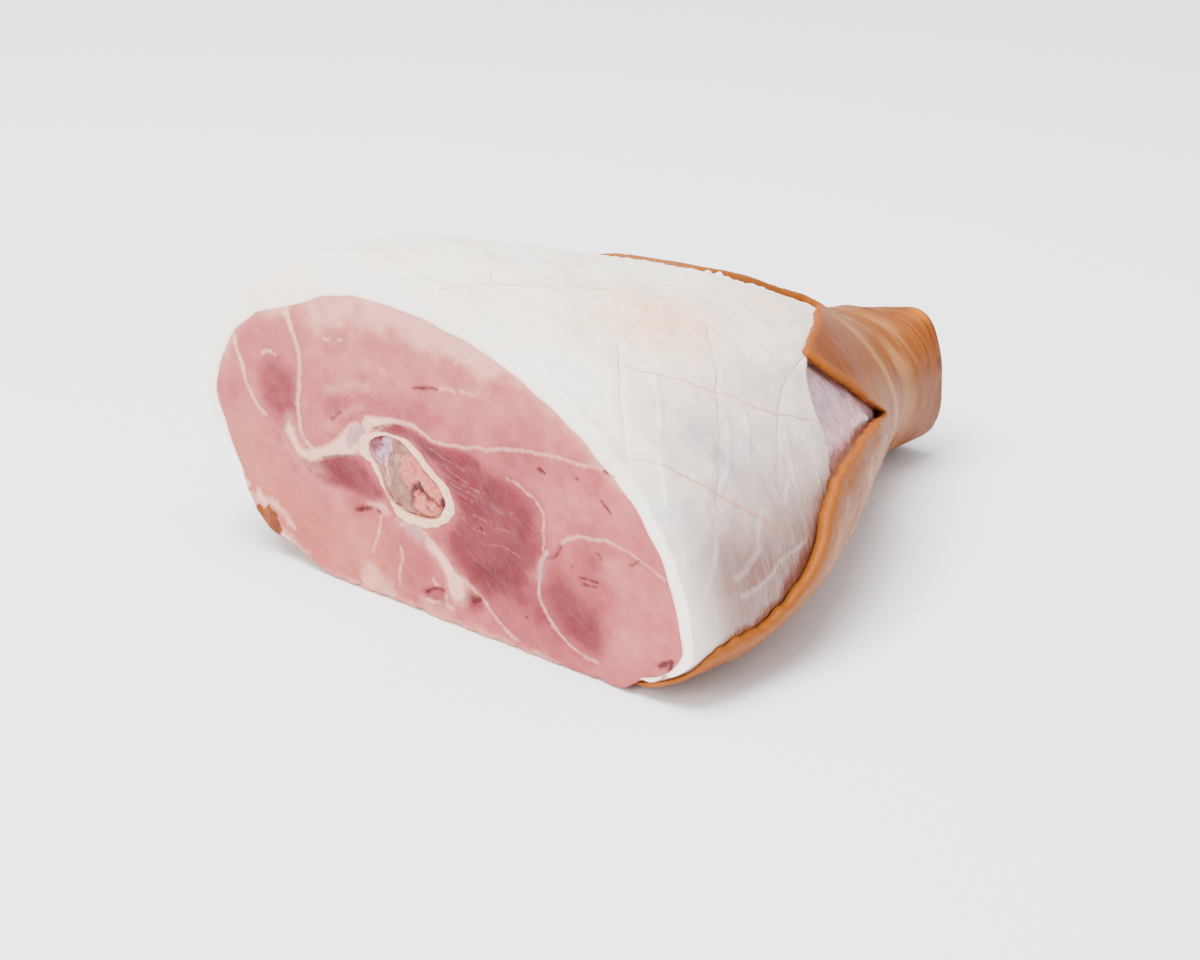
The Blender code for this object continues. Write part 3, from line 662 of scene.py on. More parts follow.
# the fat: one sleeve from the meat's edge, over the cut face, along the outside and round the shank end
fatSleeve = {
    "bareColumns": 300, "underColumns": 96, "bareShare": (-0.030, 0.570),
    "rowsInside": 7, "rowsFace": 18, "rowsOutside": 192, "rowsEnd": 4,
    # knife lines in the fat: paths of distance in mm and share round
    "lengthCuts": [
        [(0, 0.261), (8, 0.265), (23, 0.269), (42, 0.281), (62, 0.290), (83, 0.297), (102, 0.307)],
        [(37, 0.367), (47, 0.378), (66, 0.400), (84, 0.424), (102, 0.438), (110, 0.444)],
        [(0, 0.417), (17, 0.432), (22, 0.440), (31, 0.456), (51, 0.486), (57, 0.494)],
    ],
    "roundCuts": [
        [(41, 0.350), (24, 0.379), (13, 0.403), (4, 0.421)],
        [(95, 0.348), (76, 0.384), (64, 0.404), (54, 0.424), (38, 0.450), (27, 0.472), (16, 0.500)],
        [(138, 0.394), (122, 0.402), (107, 0.412), (94, 0.424), (81, 0.442), (65, 0.470)],
        [(1, 0.243), (5, 0.250)], [(29, 0.261), (25, 0.268)],
    ],
    # soft patches: distance, share, half sizes and strength
    "pools": [(0.042, 0.440, 0.015, 0.034, 1.0), (0.013, 0.470, 0.012, 0.034, 1.0),
              (0.062, 0.452, 0.010, 0.030, 1.0), (0.030, 0.500, 0.014, 0.020, 1.0),
              (0.096, 0.445, 0.012, 0.020, 1.0)],
    "peach": [(0.075, 0.335, 0.040, 0.045, 1.0), (0.160, 0.325, 0.032, 0.045, 0.6)],
    "crumbs": [(0.158, 0.262, 0.030, 0.030, 1.0), (0.110, 0.235, 0.045, 0.040, 0.6)],
    # raised folds of the membrane
    "folds": [
        [(60, 0.424), (46, 0.447), (37, 0.457)], [(72, 0.422), (59, 0.446)], [(74, 0.471), (66, 0.479)],
        [(97, 0.451), (93, 0.479)], [(44, 0.378), (32, 0.404), (23, 0.417)],
        [(50, 0.482), (39, 0.500), (27, 0.507)], [(70, 0.509), (52, 0.511), (40, 0.517), (29, 0.518)],
        [(86, 0.446), (80, 0.462), (76, 0.484)], [(28, 0.470), (20, 0.492), (12, 0.505)],
        [(18, 0.430), (10, 0.452)], [(104, 0.446), (98, 0.462)],
    ],
}


# row and column of each vertex of a grid that still lies in its square
def gridIndex(mesh, rows, columns):
    co, last = verts(mesh)[:, :2], np.array([rows - 1, columns - 1])
    return tuple(np.rint((co + 1) / 2 * last).astype(int).T)


def gridMesh(name, rows, columns):
    bm = bmesh.new()
    bmesh.ops.create_grid(bm, x_segments=rows, y_segments=columns, size=1.0)
    mesh = bpy.data.meshes.new(name)
    bm.to_mesh(mesh)
    bm.free()
    return mesh, *gridIndex(mesh, rows + 1, columns + 1)


def editMesh(mesh):
    bm = bmesh.new()
    bm.from_mesh(mesh)
    return bm


def finishMesh(bm, mesh):
    bmesh.ops.recalc_face_normals(bm, faces=bm.faces)
    print("closed", mesh.name, "open edges", sum(1 for e in bm.edges if len(e.link_faces) != 2))
    bm.to_mesh(mesh)
    bm.free()


def joinSeams(bm):
    bmesh.ops.remove_doubles(bm, verts=bm.verts, dist=2e-6)
    return bm


def fatHeight(along, share, bareD, notchD, point):
    spot = onSkin(along, share)
    height = ripples(point, 0.040, 11) * 0.35 + ripples(point, 0.014, 12) * 0.16
    height += ripples(point, 0.006, 13) * 0.06
    bared = easeStep(bareD, -2.0, 1.0)
    inBare = np.where(bareD > -3.0)[0]
    scores = {}
    for group in ("lengthCuts", "roundCuts", "folds"):
        far, side = np.full(len(along), 99.0), np.full(len(along), 99.0)
        for path in fatSleeve[group]:
            d, signed = sideDistance(spot[inBare], unsteady(smoothPath(toSpan(path), 2.0), 16.0, 21))
            nearer = d < far[inBare]
            far[inBare[nearer]] = d[nearer]
            side[inBare[nearer]] = signed[nearer]
        height += 0.22 * hump(far, 0, 1.4) if group == "folds" else -0.5 * hump(far, 0, 0.9)
        scores[group] = (far, side)
    flank = flankShare(along, share)
    pulled = ripples(np.stack([spot[:, 0] / 9.0, spot[:, 1] / 38.0], 1), 1.0, 31)
    pulled = 1 - np.abs(np.clip(pulled * 0.8, -1, 1))
    height += (pulled ** 3 * 0.34 - 0.10) * flank
    height *= bared
    inNotch = easeStep(notchD, -0.4, 0.7) * easeStep(bareD, -6.0, -4.0)
    lip = hump(notchD, -1.2, 1.0) * bared * 0.35
    height += lip - inNotch * bare["notchDeep"] * (1 - 0.65 * easeStep(along, 0.140, 0.172))
    rise = (leg["skinThick"] - skinThickness(along)) / mm * easeStep(-bareD, 0.0, 3.0)
    crumbs = patchOf(fatSleeve["crumbs"], along, share)
    height += crumbs * np.maximum(ripples(point, 0.0060, 17) - 0.1, 0) * 0.95 * bared
    return (height + rise) * mm, scores


# soft round patches: distance, share, half sizes and strength
def patchOf(patches, along, turn):
    return np.max([amount * hump(along, a, wide) * hump(turn, s, tall)
                   for a, s, wide, tall, amount in patches], axis=0)


# distance to an open path, and the same with the side as its sign
def sideDistance(points, path):
    best, signed = np.full(len(points), 1e9), np.full(len(points), 1e9)
    for a, b in zip(path[:-1], path[1:]):
        run = b - a
        size = max(float(run @ run), 1e-12)
        t = ((points - a) @ run) / size
        clamped = np.clip(t, 0, 1)
        d = np.hypot(*(a + clamped[:, None] * run - points).T)
        cross = ((points[:, 0] - a[0]) * run[1] - (points[:, 1] - a[1]) * run[0]) / math.sqrt(size)
        nearer = d < best
        best[nearer], signed[nearer] = d[nearer], cross[nearer]
    return best, signed


# 1 low on the near flank, where grey wet membrane covers the fat
def flankShare(along, share):
    turn = turnOf(share)
    return easeStep(turn, 0.33, 0.44) * (1 - easeStep(turn, 0.56, 0.60)) * easeStep(along, 0.004, 0.03)


def buildFat():
    f = fatSleeve
    low, high = f["bareShare"]
    shares = np.concatenate([np.linspace(low, high, f["bareColumns"], endpoint=False),
                             np.linspace(high, low + 1.0, f["underColumns"] + 1)])
    length = leg["length"]
    rowX = np.concatenate([
        np.linspace(length, 0.0025, f["rowsInside"]), [0.0008], np.zeros(f["rowsFace"]), [0.0004],
        np.linspace(0.0014, length - 0.0012, f["rowsOutside"]), [length - 0.0003],
        np.full(f["rowsEnd"], length)])
    inFace = np.concatenate([[1.0], np.linspace(0.975, 0.02, f["rowsFace"] - 1)])
    rowT = np.concatenate([
        np.ones(f["rowsInside"]), [1.0], inFace, [0.0], np.zeros(f["rowsOutside"]), [0.0],
        np.linspace(0.04, 1.0, f["rowsEnd"])])
    mesh, i, j = gridMesh("fatCap", len(rowX) - 1, len(shares) - 1)
    share, along, deep = shares[j] % 1.0, rowX[i], rowT[i]
    turn, atSurface = turnOf(share), deep == 0
    spot = onSkin(along, share)
    bareD = bareDistance(spot)
    notchD = insideDistance(spot, notchLoop)
    base, out = surfaceAt(along, share)
    inner = toWorld(along, readTable(innerTable, along, share))
    height, scores = fatHeight(along, share, bareD, notchD, base)
    place = (base + out * height[:, None]) * (1 - deep)[:, None] + inner * deep[:, None]
    face = (along == 0.0) & (deep > 0) & (deep < 1)
    place[face, 0] += (ripples(place[face], 0.012, 15) * 0.10 + ripples(place[face], 0.004, 16) * 0.04) * mm
    setVerts(mesh, place)
    # painted shade: where the near flank turns under, and where the face's fat comes down to the floor, the
    # colour is darkened
    low = easeStep(turn, 0.43, 0.518) * easeStep(along, -0.01, 0.03) * atSurface * (bareD > -3)
    floorShade = (along < 0.0005) * (1 - easeStep(place[:, 2], 0.003, 0.006)) * 0.6
    uneven = np.clip(0.75 + ripples(base, 0.016, 33) * 0.4, 0, 1)
    # the brown edge of the skin shows as a line round the far side of the face
    browned = (deep < 0.12) & (along < 0.0016) & (share > 0.905) & (share < 0.992)
    addFields(
        mesh, alongMm=along / mm, roundMm=turn * girthAt(along), flank=flankShare(along, share) * atSurface,
        lowFlank=np.maximum(low, floorShade),
        wet=np.clip(flankShare(along, share) + easeStep(notchD, 0, 1), 0, 1) * atSurface,
        peach=patchOf(f["peach"], along, turn) * atSurface,
        pool=patchOf(f["pools"], along, turn) * atSurface * uneven,
        leanEdge=np.where(along < 0.0005, (1 - deep) * np.linalg.norm(base - inner, axis=1) / mm, 9.0),
        notch=np.where(bareD > -5, notchD, -9), rose=easeStep(turn, 0.435, 0.470),
        skinEdge=np.where(browned, 0.15, np.where(atSurface, np.maximum(bareD, 0), 9.0)))
    for group, (far, side) in scores.items():
        addFields(mesh, **{group: np.where(atSurface, far, 99.0), group + "Side": side})
    finishMesh(joinSeams(editMesh(mesh)), mesh)
    makePiece("fatCap", mesh, "fat_and_rind", fatMaterial)


print("fat")
buildFat()


# keeps the cells of a grid that hang together by whole edges
def tidyCells(keep, wraps):
    for _ in range(12):
        before = keep.copy()
        pad = np.pad(keep, 1)
        if wraps:
            pad[1:-1, 0], pad[1:-1, -1] = keep[:, -1], keep[:, 0]
        beside = pad[:-2, 1:-1].astype(int) + pad[2:, 1:-1] + pad[1:-1, :-2] + pad[1:-1, 2:]
        keep = keep & (beside >= 2)
        a, b, c, d = keep[:-1, :-1], keep[1:, :-1], keep[:-1, 1:], keep[1:, 1:]
        cross = a & d & ~b & ~c
        keep[:-1, :-1] &= ~cross
        a, b, c, d = keep[:-1, :-1], keep[1:, :-1], keep[:-1, 1:], keep[1:, 1:]
        cross = b & c & ~a & ~d
        keep[1:, :-1] &= ~cross
        if np.array_equal(before, keep):
            break
    return keep


# the nearest place on a closed outline
def nearestOn(points, loop):
    place = pathDistance(points, loop, True)[1] * len(loop)
    i = np.minimum(place.astype(int), len(loop) - 1)
    return loop[i] + (place - i)[:, None] * (np.roll(loop, -1, 0) - loop)[i]


# drops the cells that aren't kept: which vertices lay on the cut border, and which are still there
def cutGrid(mesh, i, j, keep, wraps=False):
    rows, columns = keep.shape
    touch = np.zeros((rows + 1, columns + 1), int)
    for a in (0, 1):
        for b in (0, 1):
            touch[a:a + rows, b:b + columns] += np.where(keep, 1, 10)
    if wraps:
        touch[:, 0] = touch[:, -1] = touch[:, 0] + touch[:, -1]
    border = (touch[i, j] % 10 > 0) & (touch[i, j] >= 10)
    bm = editMesh(mesh)
    gone = []
    for face in bm.faces:
        index = [v.index for v in face.verts]
        if not keep[i[index].min(), j[index].min()]:
            gone.append(face)
    bmesh.ops.delete(bm, geom=gone, context="FACES")
    bm.to_mesh(mesh)
    bm.free()
    first = np.zeros((rows + 1, columns + 1), int)
    first[i, j] = np.arange(len(i))
    return border, first[gridIndex(mesh, rows + 1, columns + 1)]


# the middles of a grid's cells
def cellMiddles(x, y):
    x, y = (x[:-1] + x[1:]) / 2, (y[:-1] + y[1:]) / 2
    return np.stack(np.meshgrid(x, y, indexing="ij"), 2).reshape(-1, 2)


# the skin: a closed shell with a cut, curling edge
skin = {
    "rows": 205, "sunk": 0.45, "round": 0.6,
    "columns": [(-0.30, -0.03, 62), (-0.03, 0.26, 104), (0.26, 0.33, 26), (0.33, 0.575, 116),
                (0.575, 0.70, 40)],
    # orange marks on the shank: distance, share, radius in mm
    "spots": [(256, 0.250, 1.8), (236, 0.300, 0.2), (262, 0.300, 0.4), (269, 0.44, 3.0), (214, 0.290, 0.5)],
    "glow": (270, 0.338, 3.5),  # a bright orange corner of fat on the end
    "spotSpan": 210,  # mm that stand for once round, beside these marks
}


# distance in mm from a round mark on the skin
def fromMark(spot, turn, mark):
    a, s, radius = mark
    return np.hypot(spot[:, 0] - a, (turn - s) * skin["spotSpan"]) - radius


def buildSkin():
    shares = np.concatenate([np.linspace(a, b, n, endpoint=False) for a, b, n in skin["columns"]] + [[0.70]])
    alongs = np.linspace(0, leg["length"], skin["rows"] + 1)
    mesh, i, j = gridMesh("rindSkin", skin["rows"], len(shares) - 1)
    spot = np.stack([alongs[i] / mm, shares[j] * bare["span"]], 1)
    inside = bareDistance(cellMiddles(alongs / mm, shares * bare["span"])).reshape(skin["rows"], -1)
    # deleting faces can drop loose vertices, so the fields are carried by position in the grid
    border, order = cutGrid(mesh, i, j, tidyCells(inside < 0, True), True)
    choices = np.array([nearestOn(spot[border], loop) for loop in bareLoops])
    nearest = np.argmin(np.hypot(*(choices - spot[border]).transpose(2, 0, 1)), axis=0)
    moved = choices[nearest, np.arange(len(nearest))]
    moved[:, 0] = np.clip(moved[:, 0], 0, leg["length"] / mm)
    ends = (spot[border][:, 0] <= 0) | (spot[border][:, 0] >= leg["length"] / mm - 1e-6)
    moved[ends, 0] = spot[border][ends, 0]
    spot[border] = moved
    edge = np.min([pathDistance(spot, loop, True)[0] for loop in bareLoops], axis=0)
    edge[border] = 0
    edge, spot = edge[order], spot[order]
    along, share = spot[:, 0] * mm, spot[:, 1] / bare["span"] % 1.0
    base, out = surfaceAt(along, share)
    lift = flapLift(along, share, edge)
    body = skinThickness(along)
    curve = np.sqrt(np.clip(1 - (1 - np.clip(edge / skin["round"], 0, 1)) ** 2, 0, 1))
    lumps = ripples(base, 0.030, 42) * 0.22 + ripples(base, 0.009, 43) * 0.07
    turn = turnOf(share)
    gone = turn * girthAt(along)
    # streaks follow the free edge on the strap, slant on the tongue and go round the shank
    slant = 0.9 * (1 - easeStep(along, 0.170, 0.235))
    across = along / mm - slant * np.clip(gone - 97.0, -45.0, 45.0)
    strap = easeStep(turn, 0.465, 0.500) * (1 - easeStep(along, 0.165, 0.205))
    across = edge * strap + across * (1 - strap)
    down = (gone + along / mm) * (1 - strap) + along / mm * 2 * strap
    streaks = ripples(np.stack([down / 26, across / 3.4], 1), 1.0, 41) * (0.04 + 0.05 * strap)
    rests = easeStep(turn, 0.585, 0.60) + easeStep(-turn, 0.10, 0.13)
    relief = (streaks + lumps) * (1 - np.clip(rests, 0, 1)) * easeStep(leg["length"] - along, -0.001, 0.004)
    knob = hump(along, 0.256, 0.0035) * hump(turn, 0.250, 0.005 / 0.21) * 1.2
    top = leg["skinThick"] + lift + (relief + knob) * mm - (1 - curve) * body * 0.32
    low = leg["skinThick"] - body - skin["sunk"] * mm + lift * 0.62
    setVerts(mesh, base + out * low[:, None])
    pale = 0.22 * hump(across, 203.0, 9.0) * easeStep(turn, 0.27, 0.33) * (1 - strap)
    pale += 0.10 * easeStep(edge, 3.5, 8.0) * strap
    pale += 0.12 * hump(along, 0.236, 0.010) * easeStep(turn, 0.36, 0.44)
    pale -= 0.12 * easeStep(-edge, -24, -2) * (1 - strap) * (along > 0.12)
    pale += 0.09 * easeStep(along, 0.200, 0.228) * (1 - easeStep(turn, 0.42, 0.46))
    pale += 0.12 * hump(along, 0.224, 0.018) * easeStep(turn, 0.44, 0.48)
    # the tongue is darker; towards the shank's end, low on the near side and underneath, the skin is darkened
    # as painted shade
    tongue = hump(along, 0.168, 0.028) * easeStep(turn, 0.33, 0.365) * (1 - easeStep(turn, 0.42, 0.45))
    smoke = easeStep(along, 0.215, 0.268) * (0.35 + 0.45 * easeStep(turn, 0.41, 0.46)) + 1.5 * tongue
    wall = base + out * top[:, None]
    addFields(
        mesh, downMm=down, streakMm=across, cutEdge=edge + 9.0 * ((turn > 0.58) | (turn < -0.05)), pale=pale,
        smoke=smoke + 0.35 * easeStep(turn, 0.50, 0.60), glow=fromMark(spot, turn, skin["glow"]),
        spot=np.minimum(np.min([fromMark(spot, turn, mark) for mark in skin["spots"]], axis=0), 60.0),
        wallX=wall[:, 0], wallY=wall[:, 1], wallZ=wall[:, 2])
    # the seam underneath closes first, then the sheet gets its other side
    bm = joinSeams(editMesh(mesh))
    grown = bmesh.ops.extrude_face_region(bm, geom=list(bm.faces), use_keep_orig=True)
    layers = [bm.verts.layers.float[name] for name in ("wallX", "wallY", "wallZ")]
    for v in (g for g in grown["geom"] if isinstance(g, bmesh.types.BMVert)):
        v.co = Vector([v[layer] for layer in layers])
    finishMesh(bm, mesh)
    for name in ("wallX", "wallY", "wallZ"):
        mesh.attributes.remove(mesh.attributes[name])
    makePiece("rindSkin", mesh, "fat_and_rind", skinMaterial)


print("skin")
buildSkin()


# a flat sheet of small squares trimmed to an outline, in mm across the leg
def trimmedSheet(name, outline, spacing):
    low, high = outline.min(0) - spacing, outline.max(0) + spacing
    count = np.ceil((high - low) / spacing).astype(int)
    mesh, i, j = gridMesh(name, int(count[0]), int(count[1]))
    x, y = (low[k] + np.arange(count[k] + 1) * spacing for k in (0, 1))
    spot = np.stack([x[i], y[j]], 1)
    inside = insideDistance(cellMiddles(x, y), outline).reshape(count[0], count[1])
    border, order = cutGrid(mesh, i, j, tidyCells(inside > 0, False))
    spot[border] = nearestOn(spot[border], outline)
    return mesh, spot[order]


# a sheet's vertices, from the distance along the leg and the place across it in mm
def acrossLeg(x, spot):
    return np.stack([leg["middle"][0] + x, spot[:, 0] * mm, spot[:, 1] * mm], 1)


# draws a sheet's edge back through the leg in steps and closes it behind
def drawBack(mesh, steps):
    bm = editMesh(mesh)
    edges = [e for e in bm.edges if len(e.link_faces) == 1]
    for place in steps:
        grown = bmesh.ops.extrude_edge_only(bm, edges=edges)["geom"]
        edges = [g for g in grown if isinstance(g, bmesh.types.BMEdge) and all(v in grown for v in g.verts)
                 and len(g.link_faces) == 1]
        ring = [g for g in grown if isinstance(g, bmesh.types.BMVert)]
        moved = place(np.array([v.co[:] for v in ring]))
        for v, co in zip(ring, moved):
            v.co = Vector(co)
    edges = [e for e in bm.edges if len(e.link_faces) == 1]
    bmesh.ops.contextual_create(bm, geom=edges)
    bmesh.ops.triangulate(bm, faces=[f for f in bm.faces if len(f.verts) > 4])
    finishMesh(bm, mesh)


# steps back inside the fat, from a ring in mm: distance along the leg and how much wider than the fat's inside
def insideFat(ring, run):
    share = []

    def stepTo(along, grown):
        def move(co):
            if not share:
                share.append(pathDistance(co[:, 1:] / mm, np.concatenate([ring, ring[:1]]))[1])
            yz = readTable(innerTable, np.full(len(co), along), share[0])
            centre = yz.mean(0)
            return toWorld(np.full(len(co), along), centre + (yz - centre) * grown)
        return move

    return [stepTo(along, grown) for along, grown in run]


# steps back along the leg alone
def straightBack(alongs):
    return [lambda co, x=along: acrossLeg(x * np.ones(len(co)), co[:, 1:] / mm) for along in alongs]


